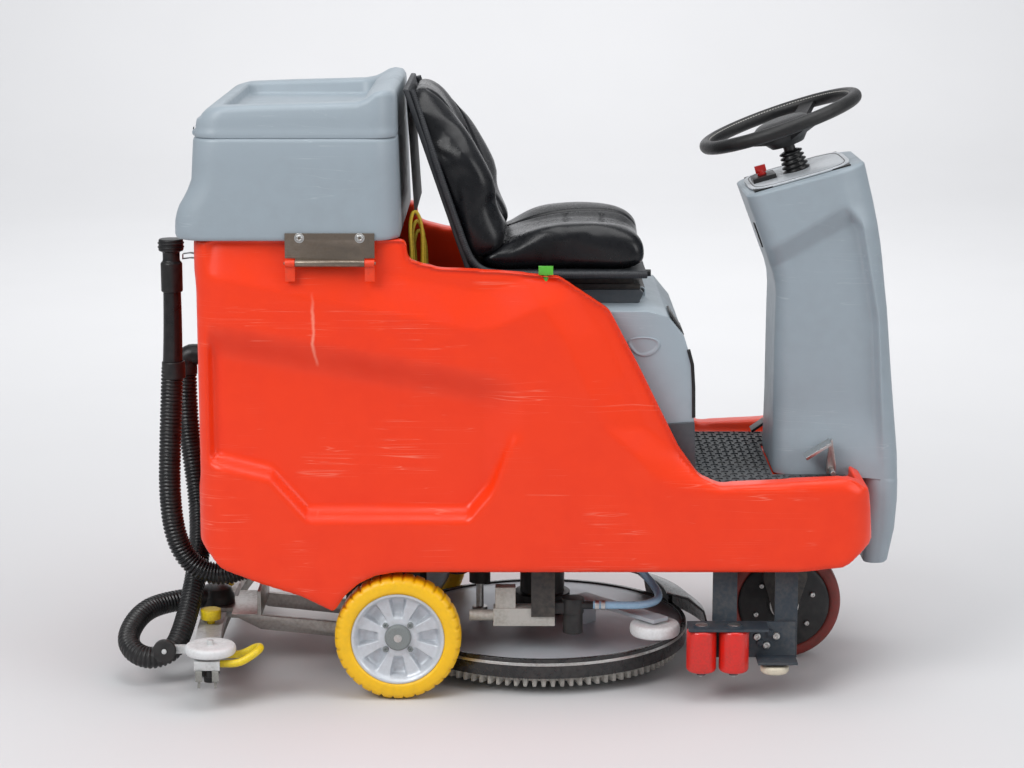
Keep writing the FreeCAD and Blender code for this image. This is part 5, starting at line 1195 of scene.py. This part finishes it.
green_plastic = finish("green_plastic", (0.09, 0.42, 0.035), 0.35, soil=(0.05, 0.2, 0.03), amount=0.3,
                       low=0.0, relief=0.05)
dress("hood_latch", green_plastic, 0.0014)

# ---- Wiring behind the seat -------------------------------------------------------------
# Yellow cables that rise out of the bay and drop back into it.
cable_yellow = finish("cable_yellow", (0.62, 0.45, 0.03), 0.40, soil=(0.15, 0.10, 0.03), amount=0.4, scale=25, low=0.0,
                      relief=0.05)
cables = []
for number, y in enumerate((-0.205, -0.180, -0.155)):
    x, crown = -0.234 + 0.003 * number, 0.965 - 0.022 * number
    line = hose_line("cable_line", [(x, y, 0.723), (x, y, 0.793), (x + 0.003, y, 0.863), (x - 0.001, y, crown - 0.030),
                                    (x + 0.009, y + 0.004, crown), (x + 0.024, y + 0.006, crown - 0.030),
                                    (x + 0.024, y + 0.006, crown - 0.100), (x + 0.020, y + 0.004, 0.783),
                                    (x + 0.020, y + 0.004, 0.723)])
    cables.append(swept("cable", line, lambda along: np.full(len(along), 0.0035), 0.003, 12)[0])
clip = grid_object("clip", np.array([[(cx, cy, cz) for cx, cy in ((-0.243, -0.270), (-0.198, -0.270), (-0.198, -0.140), (-0.243, -0.140))]
                                     for cz in (0.711, 0.7225)]), close_across=True, caps=True)
wires = gather("cables", cables + [clip])
wires.data.materials.append(cable_yellow)
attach(wires, "machine")
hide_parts("wiring")

# ---- Wheels -----------------------------------------------------------------------------
# Rear wheels: yellow polyurethane tyres with notched shoulders on cast aluminium rims with
# eight pockets, and a grey cap inside four bolts.
yellow_tyre = finish("yellow_tyre", (0.88, 0.50, 0.003), 0.40, soil=(0.55, 0.33, 0.02), amount=0.3, scale=9, low=0.05,
                     reach=0.10, grain_scale=300, relief=0.10)
wheel_silver = finish("wheel_silver", (0.60, 0.63, 0.67), 0.36, soil=(0.36, 0.36, 0.36), amount=0.3, scale=16, low=0.0,
                      grain_scale=700, relief=0.10, metallic=0.35)
cap_grey = finish("cap_grey", (0.20, 0.22, 0.22), 0.5, soil=(0.12, 0.12, 0.11), amount=0.4, scale=40,
                  low=0.0, relief=0.08)
turn = np.linspace(0, 2 * np.pi, 288, endpoint=False)
for side, name in ((-1, "right"), (1, "left")):
    # Notches: the tread's shoulder drops in 34 short steps round the wheel.
    notch = step(np.cos(34 * turn), 0.80, 0.95)
    profile = np.array([(0.0925, 0.262), (0.0925, 0.318), (0.098, 0.3195), (0.112, 0.3195), (0.118, 0.3175), (0.1225, 0.3120),
                        (0.1245, 0.3060), (0.125, 0.298), (0.125, 0.282), (0.1245, 0.274), (0.1225, 0.268), (0.118, 0.2625),
                        (0.112, 0.2605), (0.098, 0.2605)])
    depth = np.array([0, 0, 0, 0, 0.0018, 0.0042, 0.0045, 0.002, 0.002, 0.0045, 0.0042, 0.0018, 0, 0])
    radius = profile[:, :1] - depth[:, None] * notch[None]
    rings = np.stack([-0.26 + radius * np.cos(turn), side * np.repeat(profile[:, 1:], 288, axis=1),
                      0.125 + radius * np.sin(turn)], axis=-1)
    tyre = grid_object("tyre_moulded_" + name, rings, close_across=True, close_along=True)
    tyre.data.materials.append(yellow_tyre)
    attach(tyre, "rear_wheel_" + name)
    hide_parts("rear_tyre_" + name)
    # Rim: a face as a height over radius and angle, with pockets sunk between eight spokes.
    radii = np.array([0.0, 0.012, 0.024, 0.034, 0.037, 0.0405, 0.044, 0.050, 0.058, 0.066, 0.073, 0.078, 0.081, 0.0835, 0.0865,
                      0.0895, 0.0915, 0.0925])
    dish = np.interp(radii, [0, 0.036, 0.044, 0.078, 0.084, 0.0865, 0.0915, 0.0925],
                     [0.302, 0.302, 0.300, 0.304, 0.308, 0.3165, 0.3168, 0.3150])
    window = step(radii, 0.0385, 0.0470) * step(0.0815 - radii, 0.0, 0.005)
    spoke = step(np.cos(8 * turn), -0.30, 0.25)
    face = dish[:, None] - 0.017 * window[:, None] * spoke[None] * (0.55 + 0.45 * step(radii, 0.04, 0.07))[:, None]
    front = np.stack([-0.26 + radii[:, None] * np.cos(turn), side * face, 0.125 + radii[:, None] * np.sin(turn)], axis=-1)
    rear_radii = np.array([0.0925, 0.0870, 0.0865, 0.040, 0.0])
    rear_face = np.array([0.2645, 0.2625, 0.276, 0.272, 0.272])
    behind = np.stack([-0.26 + rear_radii[:, None] * np.cos(turn), side * np.repeat(rear_face[:, None], 288, axis=1),
                       0.125 + rear_radii[:, None] * np.sin(turn)], axis=-1)
    rim = grid_object("rim_cast_" + name, np.concatenate([front, behind]), close_across=True)
    rim.data.materials.append(wheel_silver)
    cap = lathe("wheel_cap", rounded([(0, 0.298), (0.0265, 0.298), (0.0265, 0.306), (0.023, 0.3115), (0.009, 0.3115),
                                      (0.007, 0.3105), (0, 0.3105)], 0.0012), (-0.26, 0, 0.125), (0, side, 0), 48)
    bolts = []
    for quarter in range(4):
        angle = math.pi / 4 + quarter * math.pi / 2
        bolts.append(lathe("bolt", rounded([(0, 0.300), (0.0062, 0.300), (0.0062, 0.3045), (0.005, 0.306), (0.0028, 0.306),
                                            (0.0026, 0.3035), (0, 0.3035)], 0.0006), (-0.26 + 0.0345 * math.cos(angle), 0,
                                            0.125 + 0.0345 * math.sin(angle)), (0, side, 0), 6 if quarter % 2 else 24))
    cap = gather("wheel_cap_" + name, [cap, *bolts])
    cap.data.materials.append(cap_grey)
    for piece, slot_name in ((rim, "wheel_grey"), (cap, "wheel_grey")):
        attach(piece, "rear_wheel_" + name)
    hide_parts("rear_rim_" + name)

# ---- Drive wheel ------------------------------------------------------------------------
# Front wheel under the column: a brown polyurethane tyre bonded to a hub motor, with black
# plates held by socket screws.
brown_tyre = finish("brown_tyre", (0.20, 0.022, 0.016), 0.45, soil=(0.10, 0.05, 0.04), amount=0.6, scale=14, low=0.08,
                    reach=0.14, grain_scale=300, relief=0.15)
profile = rounded([(0.0945, -0.043), (0.107, -0.0445), (0.117, -0.040), (0.1195, -0.028), (0.120, 0.0), (0.1195, 0.028),
                   (0.117, 0.040), (0.107, 0.0445), (0.0945, 0.043)], 0.006, 4)
front_tyre = lathe("drive_tyre", profile, (0.528, 0, 0.120), (0, 1, 0), 128, brown_tyre, closed=True)
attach(front_tyre, "drive_wheel")
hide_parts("front_tyre")
dress("front_wheel_hub", moulded_black, 0.0015)
hub_parts = []
plate_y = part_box("front_wheel_hub")[1][1] - 0.0465
drive_centre, bolt_circle = (0.528, 0, 0.120), 0.062
disc_section = rounded([(0.018, plate_y + 0.0455), (0.030, plate_y + 0.0455),
                        (0.030, plate_y + 0.0490), (0.018, plate_y + 0.0490)], 0.0006)
screw_section = rounded([(0, plate_y + 0.043), (0.0048, plate_y + 0.043), (0.0048, plate_y + 0.0495),
                         (0.0026, plate_y + 0.0498), (0.0024, plate_y + 0.0475), (0, plate_y + 0.0475)], 0.0005)
for side in (-1, 1):
    hub_parts.append(lathe("hub_disc", disc_section, drive_centre, (0, side, 0), 40, closed=True))
    for number in range(6):
        angle = math.radians(20 + 60 * number)
        spot = (drive_centre[0] + bolt_circle * math.cos(angle), 0, drive_centre[2] + bolt_circle * math.sin(angle))
        hub_parts.append(lathe("hub_screw", screw_section, spot, (0, side, 0), 20))
hub_steel = gather("hub_screws", hub_parts)
hub_steel.data.materials.append(bright_steel)
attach(hub_steel, "drive_wheel")

# ---- Scrub deck -------------------------------------------------------------------------
# Pressed steel dish over one round brush, a black splash skirt with a bright band round its
# edge, the brush's motor on top, and a white guide roller out to the right.
dish_steel = finish("dish_steel", (0.50, 0.53, 0.57), 0.38, soil=(0.36, 0.37, 0.39), amount=0.25, scale=2, low=0.0,
                    grain_scale=500, relief=0.02, metallic=0.35)
dress("deck_cover", dish_steel, 0.0015)
skirt_black = finish("skirt_black", (0.006, 0.006, 0.007), 0.22, soil=(0.07, 0.065, 0.06), amount=0.35, scale=10, low=0.0,
                     grain_scale=400, relief=0.08, coat=0.2)
dress("deck_skirt", skirt_black, 0.0015)
rim_band = lathe("deck_rim", rounded([(0.2915, 0.0705), (0.3005, 0.0700), (0.3012, 0.0645), (0.3005, 0.0640), (0.2990, 0.0690),
                                      (0.2915, 0.0695)], 0.0006), (0.028, 0, 0), (0, 0, 1), 160, bright_steel, closed=True)
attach(rim_band, "deck")
bristle_white = finish("bristle_white", (0.50, 0.48, 0.44), 0.7, soil=(0.16, 0.14, 0.12), amount=0.6, scale=30, low=0.02,
                       reach=0.03, grain_scale=900, relief=0.4)
turn = np.linspace(0, 2 * np.pi, 1152, endpoint=False)
tuft = step(np.cos(96 * turn), -0.5, 0.5)
tiers = ((0.140, 0.050, 0.0), (0.2790, 0.050, 0.0), (0.2800, 0.044, 0.5), (0.2845, 0.030, 1.0), (0.2850, 0.0170, 1.0),
         (0.2770, 0.0162, 1.0), (0.140, 0.0162, 0.0))
brush_x, gap_depth, gap_rise = 0.028, 0.0075, 0.010
ring = [np.column_stack([brush_x + (r - gap_depth * share * (1 - tuft)) * np.cos(turn),
                         (r - gap_depth * share * (1 - tuft)) * np.sin(turn),
                         z + gap_rise * share * (1 - tuft) * (z < 0.02)]) for r, z, share in tiers]
tufts = grid_object("brush_tufts", np.array(ring), close_across=True, close_along=True)
tufts.data.materials.append(bristle_white)
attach(tufts, "brush")
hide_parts("brush_bristles")
dress("brush_disc", battery_case)
cast_alloy = finish("cast_alloy", (0.44, 0.43, 0.40), 0.45, soil=(0.20, 0.18, 0.14), amount=0.4, scale=18, low=0.0,
                    grain_scale=400, relief=0.2, metallic=0.3)
dress("brush_motor", moulded_black, 0.002)
white_plastic = finish("white_plastic", (0.66, 0.67, 0.68), 0.38, soil=(0.38, 0.36, 0.33), amount=0.4, scale=20, low=0.02,
                       reach=0.05, relief=0.05)


def guide_roller(name, node, body, centre, radius, low, high):
    """Turned plastic roller: a rim that bulges between two soft edges, and a shallow dish round its bolt."""
    half = (high - low) / 2
    section = rounded([(0, low + 0.006), (radius * 0.30, low + 0.006), (radius * 0.36, low), (radius - 0.004, low),
                       (radius, low + half * 0.5), (radius, high - half * 0.5), (radius - 0.004, high),
                       (radius * 0.62, high), (radius * 0.55, high - 0.0012), (0, high - 0.0012)], half * 0.45, 5)
    roller = lathe(name, section, (*centre, 0), (0, 0, 1), 80, white_plastic)
    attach(roller, body)
    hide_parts(node)
    return roller


guide_roller("deck_guide", "deck_roller", "deck_roller", (0.24975, -0.24977), 0.050, 0.1152, 0.1408)
guide_roller("squeegee_guide_right", "squeegee_roller_right", "squeegee_roller_right",
             (-0.6248, -0.350), 0.050, 0.1062, 0.1258)
guide_roller("squeegee_guide_left", "squeegee_roller_left", "squeegee_roller_left",
             (-0.6248, 0.350), 0.050, 0.1062, 0.1258)

# ---- Water valve, filter and hose -------------------------------------------------------
# Cast solenoid valve and a filter with a clear cup, and the braided clear hose that feeds
# the deck.
dress("solenoid_valve", cast_alloy, 0.0018)
dress("water_filter", moulded_black, 0.0015)
clear_hose = finish("clear_hose", (0.26, 0.42, 0.58), 0.18, soil=(0.20, 0.30, 0.40), amount=0.4, scale=30, low=0.0, relief=0.1,
                    coat=0.4)
hose_points = hose_line("water_line", [(0.126, -0.254, 0.177), (0.176, -0.254, 0.177), (0.228, -0.250, 0.175), (0.262, -0.220, 0.179),
                                       (0.254, -0.176, 0.193), (0.226, -0.158, 0.221), (0.208, -0.170, 0.260)])
water_hose, water_length = swept("water_hose_braided", hose_points, ribs(0.008, 0.0004, 0.0034), 0.0009, 20)
water_hose.data.materials.append(clear_hose)
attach(water_hose, "machine")
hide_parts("water_hose")
clips = [lathe("clip", rounded([(0.0078, -0.004), (0.0102, -0.004), (0.0102, 0.004), (0.0078, 0.004)], 0.0006), (cx, -0.254, 0.177),
               (1, 0, 0), 28, closed=True) for cx in (0.134, 0.146)]
hose_clips = gather("hose_clips", clips)
hose_clips.data.materials.append(bright_steel)
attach(hose_clips, "machine")

# ---- Side bracket -----------------------------------------------------------------------
# Painted steel bracket that hangs from the chassis, with two red bumper rollers, their
# washers, three plate bolts and a pale disc at its foot.
bracket_paint = finish("bracket_paint", (0.022, 0.033, 0.046), 0.45, soil=(0.12, 0.11, 0.10), amount=0.4, scale=15, low=0.15,
                       reach=0.15, grain_scale=500, relief=0.12)
dress("side_bracket", bracket_paint, 0.0012, 2)
roller_red = finish("roller_red", (0.66, 0.012, 0.006), 0.30, soil=(0.30, 0.03, 0.02), amount=0.4, scale=25, low=0.08,
                    reach=0.10, relief=0.06, coat=0.2)
for name, cx in (("rear", 0.338), ("front", 0.402)):
    bumper = lathe("bumper_" + name, rounded([(0, 0.0665), (0.006, 0.0665), (0.006, 0.0613), (0.0262, 0.0613), (0.0295, 0.066),
                                              (0.0295, 0.142), (0.0262, 0.1465), (0, 0.1465)], 0.0025, 5), (cx, -0.316, 0),
                   (0, 0, 1), 64, roller_red)
    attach(bumper, "side_roller_" + name)
    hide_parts("side_roller_" + name)
fasteners = []
for cx in (0.338, 0.402):
    fasteners += [lathe("washer", rounded([(0, 0.152), (0.0145, 0.152), (0.0145, 0.1538), (0.011, 0.156), (0, 0.156)], 0.0008),
                        (cx, -0.316, 0), (0, 0, 1), 36),
                  lathe("shank", rounded([(0, 0.0613), (0.005, 0.0613), (0.005, 0.0500), (0, 0.0500)], 0.0008), (cx, -0.316, 0),
                        (0, 0, 1), 20)]
for cx, cz in ((0.450, 0.122), (0.488, 0.123), (0.469, 0.104)):
    fasteners.append(lathe("plate_bolt", rounded([(0, 0.286), (0.0078, 0.286), (0.0078, 0.2875), (0.0068, 0.2908), (0.0035, 0.2915),
                                                  (0.003, 0.2895), (0, 0.2895)], 0.0006), (cx, 0, cz), (0, -1, 0), 24))
bracket_bolts = gather("bracket_bolts", fasteners)
bracket_bolts.data.materials.append(bright_steel)
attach(bracket_bolts, "machine")
ivory = finish("ivory", (0.62, 0.56, 0.44), 0.45, soil=(0.30, 0.26, 0.2), amount=0.4, scale=30, low=0.0, relief=0.05)
dress("bracket_disc", ivory, 0.002)

# ---- Squeegee ---------------------------------------------------------------------------
# Curved cast bar with two rubber blades, on a stainless arm behind the wheels. A dome takes
# the suction hose, two yellow knobs hold the bar, and bent grips stand at its ends.
arm_steel = finish("arm_steel", (0.46, 0.44, 0.42), 0.34, soil=(0.22, 0.19, 0.16), amount=0.5, scale=16, low=0.0,
                   grain_scale=400, relief=0.06, metallic=1.0)
casting = finish("casting", (0.60, 0.61, 0.61), 0.42, soil=(0.30, 0.28, 0.26), amount=0.5, scale=18, low=0.06, reach=0.08,
                 grain_scale=300, relief=0.2, metallic=0.3)
blade_rubber = finish("blade_rubber", (0.24, 0.24, 0.22), 0.45, soil=(0.12, 0.11, 0.10), amount=0.5, scale=30, low=0.03,
                      reach=0.04, relief=0.12)
grip_yellow = finish("grip_yellow", (0.78, 0.58, 0.01), 0.36, soil=(0.34, 0.25, 0.05), amount=0.45, scale=30, low=0.0,
                     relief=0.06)
dress("squeegee_arm", arm_steel, 0.0012, 2)
dress("squeegee_body", casting, 0.0018, 2)
dress("squeegee_blades", blade_rubber, 0.0006, 2)
dress("squeegee_handles", grip_yellow, 0.0012, 2)
dress("suction_port", moulded_black, 0.0018)
dress("squeegee_wheels", moulded_black, 0.0018)
knobs = []
for side in (-1, 1):
    turn = np.linspace(0, 2 * np.pi, 96, endpoint=False)
    lobes = 1 - 0.16 * step(np.cos(6 * turn), 0.2, 0.9)
    tiers = [(0.006, 0.0845), (0.0175, 0.0835), (0.0190, 0.0800), (0.0190, 0.0700), (0.0170, 0.0680), (0.0125, 0.0670),
             (0.0120, 0.0560), (0.0080, 0.0550)]
    knobs.append(grid_object("knob", np.array([np.column_stack([
        -0.6248 + r * np.where(r > 0.0165, lobes, 1) * np.cos(turn), side * 0.368 + r * np.where(r > 0.0165, lobes, 1) * np.sin(turn),
        np.full(96, z)]) for r, z in tiers]), close_across=True, caps=True))
end_knobs = gather("squeegee_knobs", knobs)
end_knobs.data.materials.append(moulded_black)
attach(end_knobs, "squeegee")
